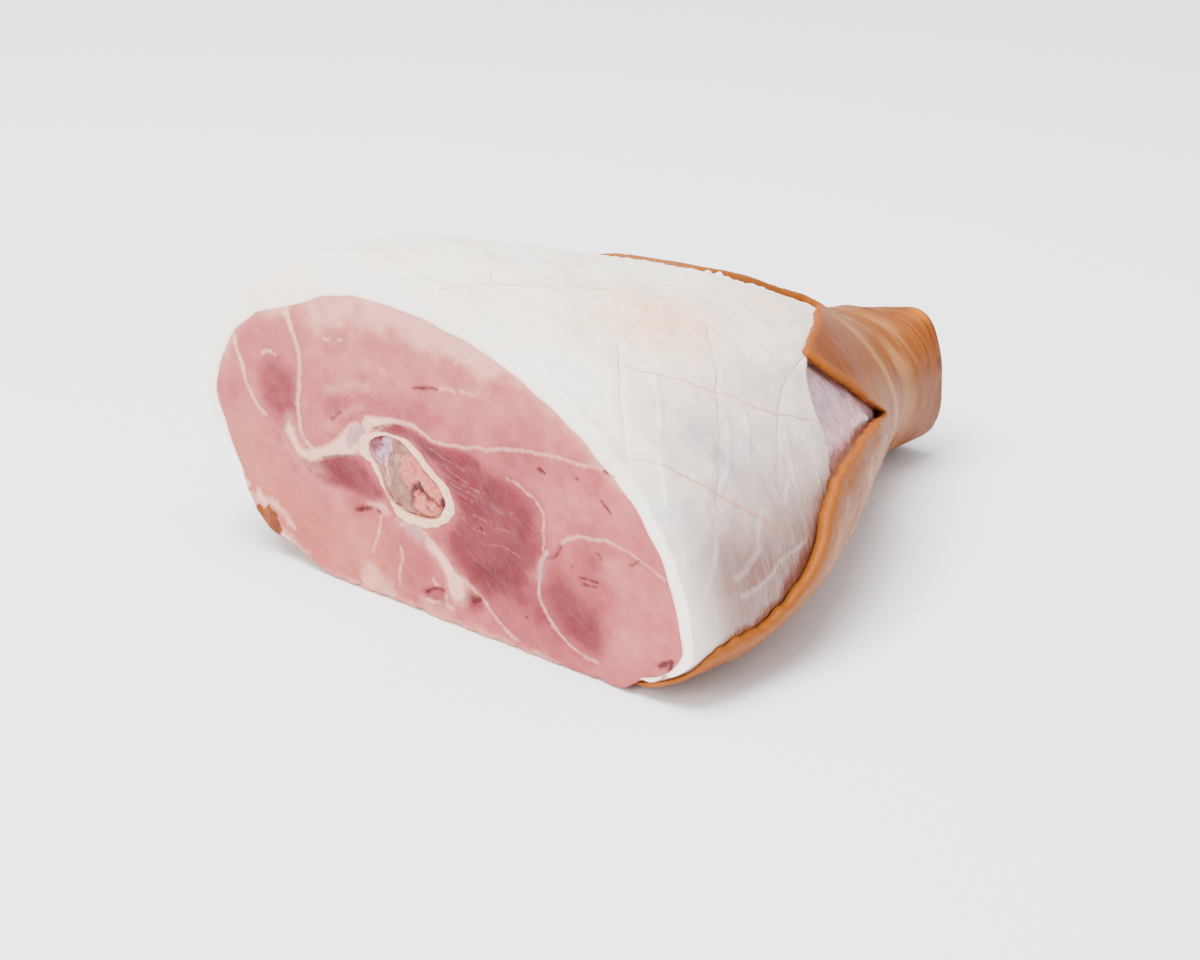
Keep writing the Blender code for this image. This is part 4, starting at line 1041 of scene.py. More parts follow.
# the lean's cut face: everything is y and z in mm
lean = {
    "spacing": 0.64, "lowEdge": 0.7, "under": 0.9, "behind": 0.25, "recess": 3.2, "dome": 0.7,
    # white lines between the muscles: half width in mm at the start and the end, then the path
    "seams": [
        (1.0, 0.4, [(114, 88), (112.5, 84), (109.5, 79), (107.5, 74), (104.5, 67.5), (99.5, 62), (95, 60)]),
        (0.8, 0.7, [(81, 106.5), (79.5, 102), (77.5, 97), (75, 91.5), (74.5, 84.5), (75, 77.5), (76.5, 70.5)]),
        (0.8, 0.4, [(76.5, 70.5), (76.5, 63.5), (75.5, 58), (70.5, 53.5), (65, 51.5)]),
        (0.9, 0.7, [(37.5, 72.5), (31.5, 73.6), (23, 75.2), (16, 76), (9.5, 75.5)]),
        (0.5, 0.35, [(9.5, 75.5), (5.5, 74.5), (0, 73), (-6.5, 73.5)]),
        (0.8, 0.35, [(41, 65), (36.5, 67.5), (29.5, 71.5), (23, 74.2), (18, 75)]),
        (0.35, 0.25, [(-6, 73.4), (-15, 74.2), (-25.5, 76.7), (-38, 79.4), (-51, 82), (-62, 83), (-73.5, 83.4),
                      (-91.5, 84.5)]),
        (0.2, 0.4, [(-96, 56), (-90, 57), (-85, 57), (-80, 56), (-73.5, 54.5), (-68.5, 52), (-66, 49.5)]),
        (0.1, 0.08, [(-96, 56), (-107, 53.5), (-116.5, 50)]),
        (0.55, 0.3, [(-58.5, 44.5), (-56, 39), (-55, 34), (-54.5, 29), (-56, 22.5), (-59.5, 18)]),
        (0.3, 0.2, [(-59.5, 18), (-65.5, 13.5), (-73.5, 9), (-83.5, 7)]),
        (0.22, 0.18, [(-38.5, 68), (-47, 66), (-53, 63), (-56, 59.5), (-57, 51), (-56.5, 45)]),
        (0.45, 0.25, [(-7.5, 24.5), (-11.5, 21.5), (-18, 19), (-24.5, 15), (-31, 10), (-37, 6), (-44, 3.5)]),
        (0.4, 0.35, [(19.5, 34.5), (14, 35.2), (7.5, 34.2), (2, 31), (-3, 28), (-7.5, 24.5)]),
        (0.30, 0.2, [(30.5, 36), (31, 31), (32.5, 25.5), (35.5, 18)]),
        (0.30, 0.2, [(19.5, 24), (18.5, 19.5), (20.5, 14), (21, 7)]),
    ],
    # short marks of fat
    "flecks": [
        (0.5, 0.3, [(98, 85), (93.5, 87), (88.5, 86.5)]), (0.4, 0.3, [(60, 100), (57, 101)]),
        (0.35, 0.2, [(52.5, 107.5), (50, 108)]), (0.3, 0.2, [(51.5, 101.5), (49, 102)]),
        (0.3, 0.2, [(-11, 106.5), (-14, 109)]), (0.35, 0.2, [(-16, 108.5), (-20, 110), (-24, 109)]),
        (0.3, 0.15, [(-26, 108.5), (-33, 107)]), (0.35, 0.25, [(-4, 95), (-8, 96.5), (-12, 96)]),
        (0.3, 0.15, [(-15, 96.5), (-22.5, 97)]), (0.3, 0.2, [(2.5, 15.5), (0.5, 13.5), (-1.5, 13.5)]),
        (0.4, 0.3, [(5.5, 6.5), (2.5, 6.5), (-1, 7)]), (0.35, 0.3, [(-5, 11), (-5.5, 7), (-9, 7)]),
    ],
    # cream fat and sinew, as areas
    "creams": [
        [(72, 49), (67, 52.5), (61, 55), (55, 59), (51, 62.5), (47, 67), (43, 69.5), (41, 68.5), (45, 63),
         (42.5, 59), (45, 56), (51.5, 54), (59, 51.5), (65, 49), (70, 47.5)],
        [(82, 60), (80, 58.5), (77.5, 53.5), (74.5, 50.5), (69, 50.5), (70, 48), (75.5, 48.5), (80, 52),
         (83.5, 56)],
        [(41.5, 66), (37.5, 72.3), (32, 74.4), (26, 75.2), (24, 74), (29, 72), (33.5, 70), (37, 67)],
        [(44, 60), (41, 65.5), (38.5, 66), (38, 60), (40.5, 57)],
        [(5, 31.5), (0, 29.8), (-5, 26.8), (-9.5, 23.5), (-14, 20), (-15.5, 15), (-12.5, 11.5), (-9.5, 11.2),
         (-7.2, 14), (-6.5, 19), (-3.5, 23.4), (1, 27), (4.5, 28.4)],
        [(117, 27.5), (112, 29), (107, 26.5), (111, 24.5), (116, 25)],
        [(102, 26.5), (98, 24), (93, 18), (90.5, 14.5), (93, 15), (98, 20), (102.5, 24)],
    ],
    "creamSoft": 0.25,
    # tissue that veils the meat: how much, softness, outline
    "veils": [
        (0.50, 1.4, [(78, 6), (62, 2.4), (44, 3.0), (30, 2.2), (12, 3.2), (-4, 2.2), (-20, 3), (-44, 2),
                     (-60, 2.2), (-60, -2), (70, -2)]),
        (0.65, 2.0, [(40, 12), (34.5, 12.5), (28.5, 8.5), (23.5, 5), (22, 2), (31, 0.5), (36.5, 2.5),
                     (41.5, 5.5)]),
        (0.60, 1.5, [(38, 37.5), (34, 38.5), (28.5, 40), (25, 36.5), (27, 35), (31.5, 36), (36, 36.5)]),
        (0.95, 1.2, [(84.5, 110), (80.5, 105.5), (78, 99.5), (79.5, 99), (82.5, 103.5), (88, 108)]),
        (0.35, 2.5, [(62, 78), (54, 82.5), (45.5, 85.5), (34, 87), (31, 84.5), (45, 83), (54, 79.5),
                     (60, 76.5)]),
        (0.30, 2.0, [(62, 64), (54, 70), (45, 76), (37, 78.5), (37.5, 76.5), (45, 73.5), (53, 67.5), (59, 62)]),
        (0.35, 3.0, [(-4, 112), (-20, 112), (-36, 107), (-30, 105), (-14, 107)]),
        (0.75, 1.5, [(42, 5.5), (35, 10.5), (30.5, 9), (25, 9), (26.5, 4.5), (33, 1.5), (39, 1)]),
        (0.35, 2.5, [(22, 34.5), (13, 36), (2, 32), (-8, 26), (-18, 19.5), (-16, 10), (-6, 10), (-4, 20),
                     (6, 28)]),
        (0.75, 1.0, [(107, 23), (103, 24.5), (98, 24), (93, 25), (87, 22), (80, 15), (84, 15), (90, 20),
                     (98, 20.6), (105, 19)]),
        (0.60, 1.2, [(92, 12), (86, 12.5), (79, 9), (72, 6), (78, 4), (88, 8)]),
        (0.30, 3.0, [(86, 60), (80, 64), (76, 56), (68, 48), (60, 44), (70, 42), (84, 48)]),
        (0.40, 1.5, [(8, 8), (2, 6), (-4, 8), (-10, 6), (-8, 2), (0, 1), (8, 3)]),
        (0.50, 1.5, [(97, 22), (92, 16), (86, 9), (89, 8), (96, 15), (101, 21)]),
    ],
    "gristles": [
        (0.85, 1.2, [(46, 67), (41.5, 69.5), (38, 68.5), (40, 64.5), (43, 60.5), (46.5, 58.5), (49, 61.5)]),
        (0.60, 1.2, [(22, 35.5), (13, 34.6), (7.5, 33.4), (3.5, 30.5), (8.5, 30.2), (17, 32.4)]),
        (0.55, 1.0, [(-57.5, 44), (-55, 38), (-54, 32), (-56.5, 32), (-58.5, 38), (-60, 43)]),
    ],
    "crust": [(1.0, 0.5, [(106, 15), (102.5, 18.6), (98.5, 19.6), (94.5, 21), (91.0, 17.5), (89.5, 12.2),
                          (92, 8), (100, 8), (106, 11)])],
    "warm": [(1.0, 12.0, [(112, 56), (96, 52), (84, 38), (62, 30), (30, 34), (20, 6), (60, -4), (92, 2),
                          (114, 22), (122, 44)])],
    # threads of sinew in the dark muscle
    "threads": [
        [(2, 69.5), (-6, 67.5), (-16.5, 65)], [(-1.5, 62.5), (-11.5, 59.5), (-19.5, 59), (-26.5, 59)],
        [(-7, 57), (-13, 55), (-20, 53.5)], [(-50.5, 51.5), (-52.5, 51), (-55.5, 52)],
        [(-1.5, 34.5), (-5.5, 36), (-8, 35.5)], [(-6.5, 39), (-11, 39.5), (-13, 38.5)],
        [(-32, 47), (-37.5, 47), (-42.5, 47)], [(-4, 65.5), (-10.5, 62.5), (-19, 60.5)],
        [(-25.5, 38.5), (-38, 40), (-50.5, 37)], [(-9, 58.5), (-15.5, 57), (-23, 56.5)],
        [(-20, 49), (-26, 48), (-31, 49)], [(-15, 46), (-22, 43), (-28, 43)], [(-30, 55), (-37, 54), (-43, 56)],
    ],
    # blood left in small vessels and torn places
    "gashes": [
        (0.5, 0.3, [(10.5, 91.5), (5.5, 92.5), (1, 94), (-2, 94)]),
        (0.5, 0.3, [(57.5, 67.5), (54, 70.5), (52, 71.5)]), (0.7, 0.5, [(-55.3, 76.3), (-57.5, 75)]),
        (0.35, 0.3, [(-86, 72), (-91, 68)]), (0.35, 0.3, [(-39.3, 68.3), (-40, 67.7)]),
        (0.25, 0.15, [(-76, 39), (-84.5, 39.5)]), (0.25, 0.15, [(-77.5, 37), (-84, 37.5)]),
        (0.3, 0.2, [(-84.5, 51), (-86.5, 49)]), (0.35, 0.2, [(-100.5, 51), (-104, 53.5)]),
        (0.5, 0.3, [(-87, 83.5), (-91.5, 82.5)]), (1.2, 0.9, [(-114.5, 15.5), (-120.5, 18.5), (-119, 15.5)]),
        (0.45, 0.3, [(-66, 48.3), (-62.5, 44), (-59, 41.8)]), (0.4, 0.3, [(-74.3, 78), (-74.8, 77.6)]),
        (0.4, 0.2, [(-48.3, 15), (-48.8, 14.6)]), (0.3, 0.2, [(-71, 42), (-71.4, 41.6)]),
        (0.35, 0.3, [(-24.5, 44), (-25, 43.5)]),
        (0.35, 0.25, [(62, 50.5), (55, 53), (48.5, 54.3), (44.5, 55.5)]),
        (0.7, 0.5, [(44, 33.4), (40, 34), (36.5, 35.5)]), (0.5, 0.3, [(41, 34.6), (38.5, 34)]),
        (0.5, 0.4, [(33, 35.4), (31, 35.3)]), (1.5, 1.0, [(-17.5, 14), (-20.5, 13.8), (-22.5, 14.6)]),
        (0.35, 0.2, [(34, 69.6), (26, 72.8), (18, 74)]), (0.5, 0.3, [(6, 9.5), (2, 11.5), (-4, 12)]),
        (0.4, 0.3, [(70.5, 42.8), (69, 41.5)]),
    ],
    # deeper and paler areas: amount, softness in mm, outline
    "tones": [
        (0.34, 6.0, [(95, 82.5), (84.5, 83.5), (77.5, 81), (78.5, 68), (82, 58), (91.5, 61.5), (97, 69.5)]),
        (0.12, 4.0, [(111, 94), (104.5, 98.5), (97.5, 98), (99.5, 89), (108, 86)]),
        (0.30, 6.0, [(22, 70), (4.5, 71), (-17, 68.5), (-38.5, 67.5), (-54, 64), (-57, 52), (-56, 44),
                     (-50.5, 36), (-37.5, 26), (-25, 20), (-14, 24), (-7, 31), (-3.5, 35.5), (-10, 43),
                     (-11, 50.5), (-6, 56), (1, 61.5), (8.5, 66.5), (15.5, 70)]),
        (0.16, 3.0, [(4, 69), (-12, 68), (-29, 67.5), (-44, 62), (-50, 52), (-46, 40), (-34, 30), (-22, 27),
                     (-12, 30), (-8, 37), (-14, 44), (-12, 54), (-4, 61)]),
        (0.22, 6.0, [(-14, 25.5), (-25, 26.5), (-37.5, 31), (-53, 40.5), (-54, 33.5), (-54.5, 25.5),
                     (-59.5, 17), (-50, 17.5), (-37, 17), (-24.5, 17.5)]),
        (0.30, 1.8, [(34, 68.5), (27.5, 71.5), (20, 74), (11.5, 74.4), (2, 72), (-13.5, 72), (-24, 71),
                     (-24, 68), (2, 66), (13.5, 71), (22, 71), (28.5, 69.5)]),
        (0.44, 2.6, [(75, 45.5), (69, 48), (59, 51), (51.5, 54), (44, 55.2), (39, 53), (34.5, 48),
                     (29.5, 42.5), (36, 39.5), (46, 40.5), (52, 41), (59.5, 39.5), (67.5, 41.5)]),
        (0.36, 9.0, [(-59, 30.5), (-70, 34), (-80, 31), (-86, 22), (-80, 13), (-69, 13), (-60.5, 20)]),
        (0.10, 9.0, [(-60, 44), (-84, 55), (-110, 50), (-122, 32), (-116, 12), (-84, 7), (-60, 22)]),
        (-0.10, 10.0, [(112, 60), (95, 58), (84, 40), (70, 20), (90, 4), (112, 24), (122, 46)]),
        (-0.12, 9.0, [(70, 96), (30, 104), (-20, 104), (-50, 96), (-20, 88), (30, 90), (62, 84)]),
        (0.10, 6.0, [(0, 73), (-30, 78), (-60, 81), (-92, 82), (-104, 62), (-84, 58), (-66, 56), (-50, 70),
                     (-20, 72)]),
        (0.12, 4.0, [(-20, 28), (-30, 12), (-46, 4), (-66, 6), (-56, 22), (-54, 30), (-38, 32)]),
        (0.12, 5.0, [(60, 76), (44, 80), (28, 84), (0, 84), (0, 78), (28, 77), (44, 72), (58, 66)]),
        (-0.12, 6.0, [(72, 48), (60, 34), (58, 10), (40, 6), (34, 30), (50, 36)]),
        (-0.22, 6.0, [(66, 112), (30, 122), (-10, 122), (-40, 114), (-46, 107), (-10, 108), (30, 108),
                      (60, 103)]),
        (-0.16, 8.0, [(-56, 72), (-80, 77), (-98, 71), (-100, 61), (-84, 60), (-66, 57), (-58, 60)]),
        (-0.20, 9.0, [(-92, 48), (-110, 48), (-121, 34), (-117, 16), (-98, 10), (-88, 14), (-94, 30)]),
        (0.09, 8.0, [(96, 30), (84, 36), (66, 28), (62, 12), (80, 8), (96, 14)]),
        (0.06, 6.0, [(-34, 108), (-50, 104), (-64, 98), (-60, 90), (-40, 92), (-30, 98)]),
        (0.22, 3.5, [(47, 35), (40, 38), (31, 36), (29, 33), (36, 31), (46, 31)]),
        (0.26, 3.0, [(7, 9), (1.5, 12.5), (-5, 13), (-6.5, 9), (-3, 5), (3.5, 5)]),
        (0.35, 3.0, [(-15, 16), (-20, 17), (-26, 13), (-21, 9.5), (-16, 9.5)]),
        (0.10, 5.0, [(30, 30), (10, 26), (0, 18), (12, 6), (22, 14), (28, 20)]),
    ],
    "arcsRound": (38.0, 67.0),
    "arcsWithin": [(74, 100), (40, 108), (-10, 108), (-50, 98), (-92, 86), (-54, 81), (-14, 73), (24, 75),
                   (44, 70), (60, 56), (74, 60), (74, 84)],
    "boneOutline": [(42.5, 61.5), (41.5, 57.5), (38, 55.5), (35.5, 54), (32.5, 50.5), (30, 47), (27, 43.5),
                    (24, 39.5), (21.5, 36.5), (16.5, 35.3), (9.5, 35.3), (3, 36.5), (-3.5, 39.5), (-8.5, 43.5),
                    (-10.5, 48), (-9, 53), (-5.5, 57), (0.5, 60), (4, 62.5), (8.5, 66), (12.5, 68.5),
                    (17.5, 70), (23, 70.2), (29, 69.4), (35.5, 67.4), (40.5, 65)],
}
middleMm = leg["middle"][1] / mm


# the meat's edge at one distance along the leg, a little under the fat
def faceRing(along, under):
    inner = readTable(innerTable, np.full(900, along), np.arange(900) / 900)
    return insetRing(inner, -under * mm) / mm + np.array([middleMm, 0])


# distance in mm to the nearest line's edge, below zero on the line
def lineCover(spot, lines):
    cover = np.full(len(spot), 9.0)
    for first, last, path in lines:
        line = unsteady(smoothPath(path, 1.5), 14.0, 61)
        low, high = line.min(0) - 12, line.max(0) + 12
        near = np.where(np.all((spot > low) & (spot < high), 1))[0]
        d, place = pathDistance(spot[near], line)
        wide = (first + (last - first) * place) * (1 + 0.15 * np.sin(place * 17 + first * 40))
        cover[near] = np.minimum(cover[near], d - wide)
    return cover


def areaCover(spot, areas):
    cover = np.zeros(len(spot))
    for amount, soft, outline in areas:
        inside = insideOutline(spot, outline) + ripples(spot, 5.0, 64) * 0.4
        cover = np.maximum(cover, amount * easeStep(inside, -soft, soft))
    return cover


def buildLean():
    ring = faceRing(0.0, lean["under"])
    lowest = lean["lowEdge"] + ripples(ring, 9.0, 76) * 0.35 + ripples(ring, 3.0, 77) * 0.12
    below = easeStep(-ring[:, 1], -7.0, -2.5)
    ring[:, 1] = ring[:, 1] * (1 - below) + np.maximum(lowest, 0.15) * below
    mesh, spot = trimmedSheet("leanCutFace", smoothPath(ring[::3], 0.6, True), lean["spacing"])
    seam = np.minimum(lineCover(spot, lean["seams"]), lineCover(spot, lean["flecks"]))
    cream = np.min([-insideOutline(spot, outline) for outline in lean["creams"]], axis=0) - lean["creamSoft"]
    gash = lineCover(spot, lean["gashes"])
    tone = 0.36 + ripples(spot, 26.0, 71) * 0.035 + ripples(spot, 9.0, 72) * 0.02
    for amount, soft, outline in lean["tones"]:
        tone += amount * easeStep(insideOutline(spot, outline, 2.5), -soft, soft)
    inBone = insideOutline(spot, lean["boneOutline"], 1.0)
    rim = insideOutline(spot, ring[::6], 3.0)
    # the pale border under the fat
    tone -= 0.34 * np.exp(-np.maximum(rim, 0) / 7.0) * easeStep(spot[:, 1], 50.0, 90.0)
    flat = spot * mm
    rise = ripples(flat, 0.030, 73) * 0.22 + ripples(flat, 0.010, 74) * 0.10 + ripples(flat, 0.0035, 75) * 0.045
    rise += lean["dome"] * easeStep(rim, 0.0, 14.0) - 0.35 * fade(np.minimum(seam, 6) + 0.3, 0.7)
    rise += 0.25 * fade(cream, 0.8) - 0.9 * fade(gash, 0.5) - 0.5 * fade(-inBone, 2.2)
    rise -= lean["recess"] * easeStep(inBone, 0.3, 1.2)
    farCorner = easeStep(spot[:, 0], 86.0, 92.0) * easeStep(-spot[:, 1], -34.0, -24.0)
    lowBit = np.clip(easeStep(-spot[:, 1], -9.0, -5.0) + farCorner, 0, 1)
    back = np.maximum(easeStep(rim, 0.4, 2.2), lowBit)
    rise = rise * back - lean["behind"] * (1 - back) + lowBit * 0.30
    setVerts(mesh, acrossLeg(-rise * mm, spot))
    wrap = insideOutline(spot, lean["arcsWithin"], 3.0)
    away = spot - np.array(lean["arcsRound"])
    radius, angle = np.hypot(*away.T), np.arctan2(away[:, 1], away[:, 0])
    slant = math.radians(24)
    grain = np.array([math.cos(slant), math.sin(slant)])
    addFields(
        mesh, grainAlong=np.where(wrap > 0, angle * 42, spot @ grain),
        grainAcross=np.where(wrap > 0, radius, spot @ np.array([-grain[1], grain[0]])),
        grainShow=np.where(wrap > 0, easeStep(wrap, 0, 5) * (0.55 + 0.45 * hump(radius, 24, 22)),
                           0.30 * easeStep(-wrap, 0, 5)),
        tone=tone, seam=seam, creamFat=cream, gash=gash,
        thread=lineCover(spot, [(0.12, 0.05, path) for path in lean["threads"]]),
        veil=areaCover(spot, lean["veils"]), gristle=areaCover(spot, lean["gristles"]),
        crust=areaCover(spot, lean["crust"]), warm=areaCover(spot, lean["warm"]))
    # a little wider than the fat's inside near the face, a little narrower behind it
    run = [(0.004, 1.008)] + [(a, 0.994) for a in (0.02, 0.05, 0.09, 0.13, 0.17, 0.205, 0.235, 0.262)]
    drawBack(mesh, insideFat(ring, run))
    makePiece("leanCutFace", mesh, "lean_meat", leanMaterial)


# sawn bone: a tube with a thin rounded lip, drawn back inside the leg
bone = {
    "around": 176, "proud": 0.0003, "back": 0.150,
    "marrowOutline": [(36.5, 62), (36, 58.5), (34, 56.4), (32, 55), (30.6, 52.6), (29, 49), (27.3, 45),
                      (24.3, 42), (19.6, 40.3), (15, 39.3), (9.5, 39.6), (4, 40.2), (-1, 42), (-4, 46),
                      (-5, 49.5), (-2.5, 53.5), (0, 56), (3.5, 58), (7, 60.2), (10, 62.6), (14, 65.4),
                      (18, 67.6), (22, 68.3), (27.5, 68), (32.5, 66.2), (35.5, 64)],
    "centre": (14.0, 52.0), "shankCentre": (-1.0, 36.0), "shankRadii": (15.0, 12.5), "shankMarrow": (7.5, 6.0),
    "shankStart": 0.172,
}


shankMiddle = np.array([bone["shankCentre"][0] + middleMm, bone["shankCentre"][1]])


# an outline in even steps, from the place at the centre's right, turning left
def evenLoop(outline):
    loop, centre = smoothPath(outline, 0.4, True), bone["centre"]
    angle = np.arctan2(loop[:, 1] - centre[1], loop[:, 0] - centre[0])
    loop, _ = evenRing(np.roll(loop, -int(np.argmin(np.abs(angle))), 0), bone["around"])
    area = np.sum(loop[:, 0] * np.roll(loop[:, 1], -1) - np.roll(loop[:, 0], -1) * loop[:, 1])
    return loop if area > 0 else np.roll(loop[::-1], 1, 0)


def boneTube(name, outerLoop, innerLoop, front, back, node):
    # rows run over the sawn end, down the hole, over the hidden end and back outside
    rows = [
        (0.0, 0.6), (0.02, 0.12), *((t, 0.0) for t in np.linspace(0.07, 0.93, 12)), (0.98, 0.15), (1.0, 0.6),
        (1.0, 2.0), (1.0, 5.0), (1.0, 12.0), (1.0, None), (0.0, None), (0.0, 12.0), (0.0, 5.0), (0.0, 2.0),
        (0.0, 0.6),
    ]
    count = len(outerLoop)
    mesh, i, j = gridMesh(name, len(rows) - 1, count)
    t = np.array([r[0] for r in rows])[i]
    sign = 1.0 if back > front else -1.0
    deep = np.array([abs(back - front) / mm if r[1] is None else r[1] for r in rows])[i]
    a, b = outerLoop[j % count], innerLoop[j % count]
    yz = a * (1 - t)[:, None] + b * t[:, None]
    face = (deep < 0.5) & (t > 0.01) & (t < 0.99)
    saw = (ripples(yz, 4.0, 81) * 0.10 + ripples(yz, 1.6, 82) * 0.05) * face
    setVerts(mesh, acrossLeg(front + sign * (deep + saw) * mm, yz))
    addFields(mesh, rim=np.minimum(t, 1 - t) * np.hypot(*(a - b).T))
    finishMesh(joinSeams(editMesh(mesh)), mesh)
    makePiece(name, mesh, node, boneMaterial)


def buildBone():
    outer, inner = evenLoop(lean["boneOutline"]), evenLoop(bone["marrowOutline"])
    outer = outer + (ripples(outer, 7.0, 85) * 0.18)[:, None] * (outer - outer.mean(0)) / 22
    boneTube("femurRing", outer, inner, -bone["proud"], bone["back"], "femur")
    ring = unitRing(bone["around"])
    ring *= 1 + ripples(ring, 1.3, 86)[:, None] * 0.02
    boneTube("shankBoneRing", shankMiddle + ring * bone["shankRadii"], shankMiddle + ring * bone["shankMarrow"],
             leg["length"] + bone["proud"], bone["shankStart"], "shank_bone")


marrow = {
    "spacing": 0.36,
    "roundBit": [(37, 62), (36.5, 58.5), (34, 55.8), (30.5, 55.3), (27.5, 57.5), (25.5, 60.5), (24.5, 64.5),
                 (24.5, 69), (32.5, 67), (36, 64.5)],
    "bloodRound": [(36.5, 62.5), (35.5, 59.5), (33.5, 57.5), (32, 58), (31.2, 61.5), (29, 64.5), (28.5, 67),
                   (33, 66.5)],
    "plug": [(19.5, 59.5), (17, 63), (12, 63.5), (9, 61), (5.5, 57.5), (0.5, 55), (-3, 52), (-4, 48.5),
             (-2.5, 44.5), (3, 41), (9, 40), (13, 41), (14.5, 44), (14, 48), (17, 50.5), (19.5, 54)],
    "blob": [(12, 45), (8.5, 48.4), (3, 48.4), (-1, 46.6), (-0.8, 43.8), (4, 41.4), (9.5, 40.6), (12, 42)],
    "clots": [(1.5, 1.0, [(13, 49), (10.5, 51), (7, 50), (4.5, 48.8)]), (1.2, 0.8, [(9.5, 52.4), (8.5, 49.5)]),
              (1.5, 1.1, [(-3.4, 49.5), (-3.2, 46.0)]), (0.9, 0.6, [(12.6, 46.8), (11.8, 44.6)]),
              (0.7, 0.3, [(13.6, 47.5), (13.4, 43.5), (10.5, 41.2), (5.5, 40.6)]),
              (0.5, 0.2, [(4.5, 48.8), (0.5, 48.0), (-2, 46.5)]), (0.3, 0.2, [(4, 45.5), (2, 44)]),
              (0.25, 0.2, [(12.5, 60), (11.5, 58)])],
    "shankClot": (2.4, 1.2),
    "septum": [(0.35, 0.25, [(30.8, 55.2), (29.5, 51.5), (27.5, 47.5)]),
               (0.4, 0.3, [(26.8, 60), (27.4, 56), (27, 52), (26, 48.5)]), (0.25, 0.2, [(25, 62), (24.4, 66)])],
}


def buildMarrow():
    outline = smoothPath(bone["marrowOutline"], 0.5, True)
    mesh, spot = trimmedSheet("femurMarrowPlug", outline, marrow["spacing"])
    edge = insideDistance(spot, outline)
    plug, roundBit, blob, bloodRound = (
        insideOutline(spot, marrow[name], 1.0) for name in ("plug", "roundBit", "blob", "bloodRound"))
    clot, septum = lineCover(spot, marrow["clots"]), lineCover(spot, marrow["septum"])
    rise = ripples(spot, 5.0, 91) * 0.16 + ripples(spot, 1.8, 92) * 0.10
    rise += 0.7 * easeStep(plug, -0.5, 2.5) + 0.6 * easeStep(roundBit, -0.5, 2.5)
    rise += 0.7 * easeStep(blob, -0.4, 2.2) + ripples(spot, 0.9, 90) * 0.07 * easeStep(plug, 0, 1)
    rise -= 0.7 * fade(clot, 0.7) + 0.6 * (1 - easeStep(edge, 0.0, 1.2)) + 0.45
    setVerts(mesh, acrossLeg(-rise * mm, spot))
    addFields(mesh, plug=plug, roundBit=roundBit, clot=clot, septum=septum, bloodRound=-bloodRound)
    drawBack(mesh, straightBack((0.004, 0.03, 0.07, 0.11, 0.139)))
    makePiece("femurMarrowPlug", mesh, "femur_marrow", marrowMaterial)


def buildShankMarrow():
    outline = shankMiddle + unitRing(120) * bone["shankMarrow"]
    mesh, spot = trimmedSheet("shankMarrowPlug", outline, marrow["spacing"])
    edge = insideDistance(spot, outline)
    rise = ripples(spot, 4.0, 93) * 0.16 + ripples(spot, 1.8, 94) * 0.10 + 0.8 * easeStep(edge, 0.0, 1.2) - 1.6
    setVerts(mesh, acrossLeg(leg["length"] + rise * mm, spot))
    addFields(mesh, plug=edge - 0.8 + ripples(spot, 5.0, 95) * 0.8, roundBit=-9.0, septum=9.0, bloodRound=9.0,
              clot=np.hypot(*(spot - shankMiddle - marrow["shankClot"]).T) - 0.9)
    drawBack(mesh, straightBack((0.266, 0.24, 0.21, 0.18)))
    makePiece("shankMarrowPlug", mesh, "shank_marrow", marrowMaterial)


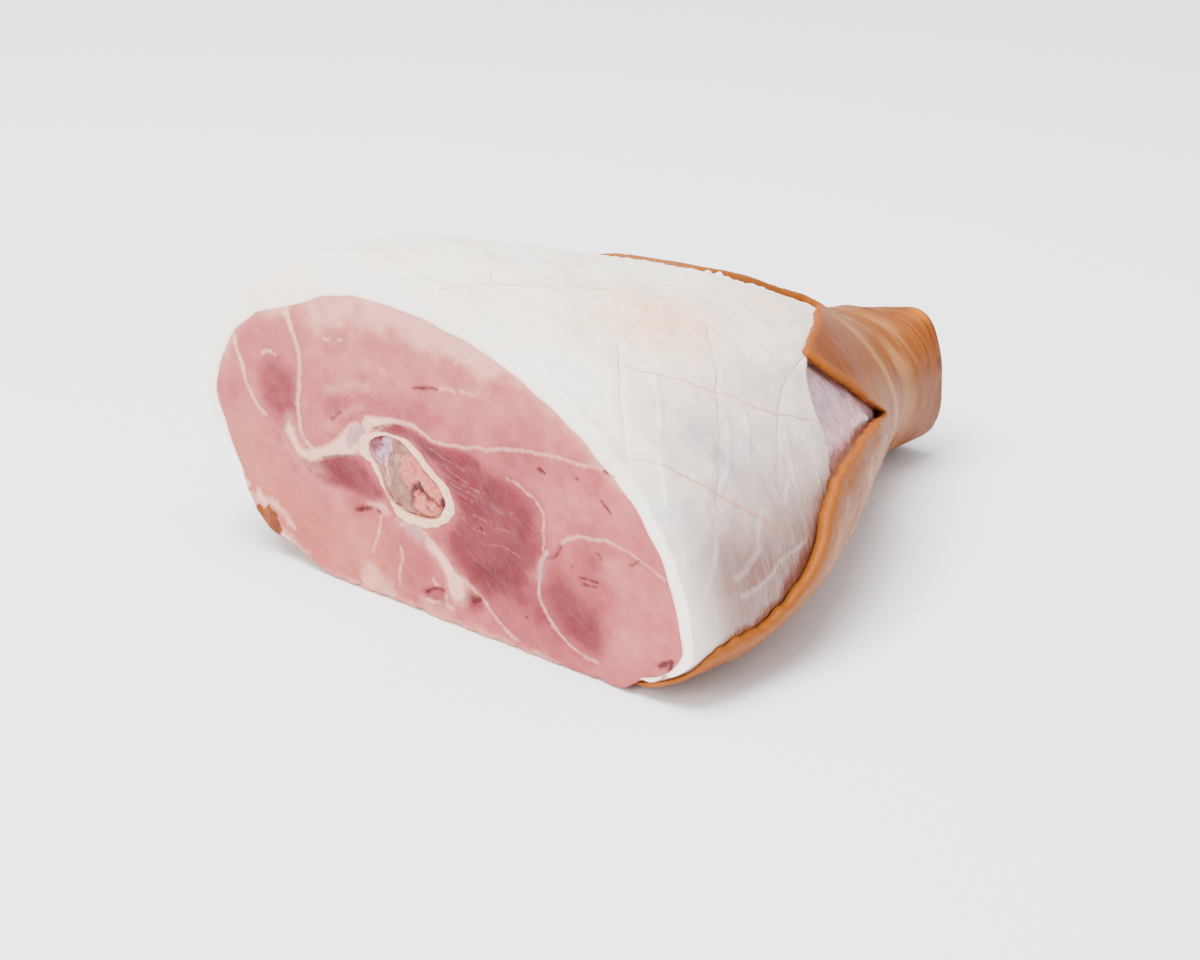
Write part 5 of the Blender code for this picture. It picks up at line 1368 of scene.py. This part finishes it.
def buildShankLean():
    ring = faceRing(leg["length"], 0.5)
    mesh, spot = trimmedSheet("leanShankEnd", smoothPath(ring[::9], 0.7, True), 0.75)
    away = spot - shankMiddle
    fromBone = np.hypot(*(away / bone["shankRadii"]).T) - 1
    rim = insideOutline(spot, ring[::9], 2.0)
    angle, radius = np.arctan2(away[:, 1], away[:, 0]), np.hypot(*away.T)
    # tendons and thin walls stand round the bone like spokes
    spokes = np.abs(((angle / (2 * math.pi) * 7 + ripples(spot, 30, 96) * 0.18) % 1.0) - 0.5)
    seam = np.minimum((0.5 - spokes) * 2 * math.pi / 7 * radius, np.abs(fromBone - 0.10) * 14) - 0.3
    rise = ripples(spot, 14.0, 97) * 0.35 + ripples(spot, 4.5, 98) * 0.14 + 0.5 * easeStep(rim, 0, 6)
    rise -= 0.35 * fade(seam, 0.8) + lean["recess"] * (1 - easeStep(fromBone, -0.10, -0.03))
    back = easeStep(rim, 0.3, 1.6)
    rise = rise * back - lean["behind"] * (1 - back)
    setVerts(mesh, acrossLeg(leg["length"] + rise * mm, spot))
    addFields(mesh, grainAlong=angle * 14, grainAcross=radius, grainShow=0.5, seam=seam,
              tone=0.52 + ripples(spot, 12.0, 99) * 0.07, creamFat=9.0, gash=9.0, thread=9.0, veil=0.0,
              gristle=0.0, crust=0.0, warm=0.0)
    drawBack(mesh, insideFat(ring, [(0.266, 1.0), (0.255, 1.0), (0.245, 1.0)]))
    makePiece("leanShankEnd", mesh, "lean_meat", leanMaterial)


print("lean")
buildLean()
buildShankLean()
print("bone and marrow")
buildBone()
buildMarrow()
buildShankMarrow()


# floor, light and camera
stage = {
    "floorHalf": 6.0, "sky": "#F4F6FA", "skyPower": 1.15, "lampsAimAt": (0, 0, 0.06),
    # name, place, size, power
    "lamps": [("keySoft", (-0.45, 0.15, 1.85), 1.5, 108.0), ("frontSoft", (-2.0, -0.2, 0.95), 1.2, 38.0)],
    "lens": 100.0, "sensor": 36.0, "cameraAt": (-0.9528, -0.8477, 0.5170), "cameraAimAt": (0.0143, 0.0541, 0.0),
}


def buildStage():
    mesh, _, _ = gridMesh("paleFloor", 1, 1)
    setVerts(mesh, verts(mesh) * stage["floorHalf"])
    material, _, _ = newMaterial("palePaper", {"Base Color": tint("#FFFFFF"), "Roughness": 0.8})
    mesh.materials.append(material)
    floor = placeObject("paleFloor", mesh)
    world = bpy.data.worlds.new("softWorld")
    bpy.context.scene.world = world
    world.use_nodes = True
    background = world.node_tree.nodes["Background"]
    background.inputs["Color"].default_value = tint(stage["sky"])
    background.inputs["Strength"].default_value = stage["skyPower"]
    for name, place, size, power in stage["lamps"]:
        data = bpy.data.lights.new(name, "AREA")
        data.size = size
        data.energy = power
        placeObject(name, data, place, stage["lampsAimAt"])
    data = bpy.data.cameras.new("hamCamera")
    data.lens = stage["lens"]
    data.sensor_width = stage["sensor"]
    bpy.context.scene.camera = placeObject("hamCamera", data, stage["cameraAt"], stage["cameraAimAt"])


buildStage()
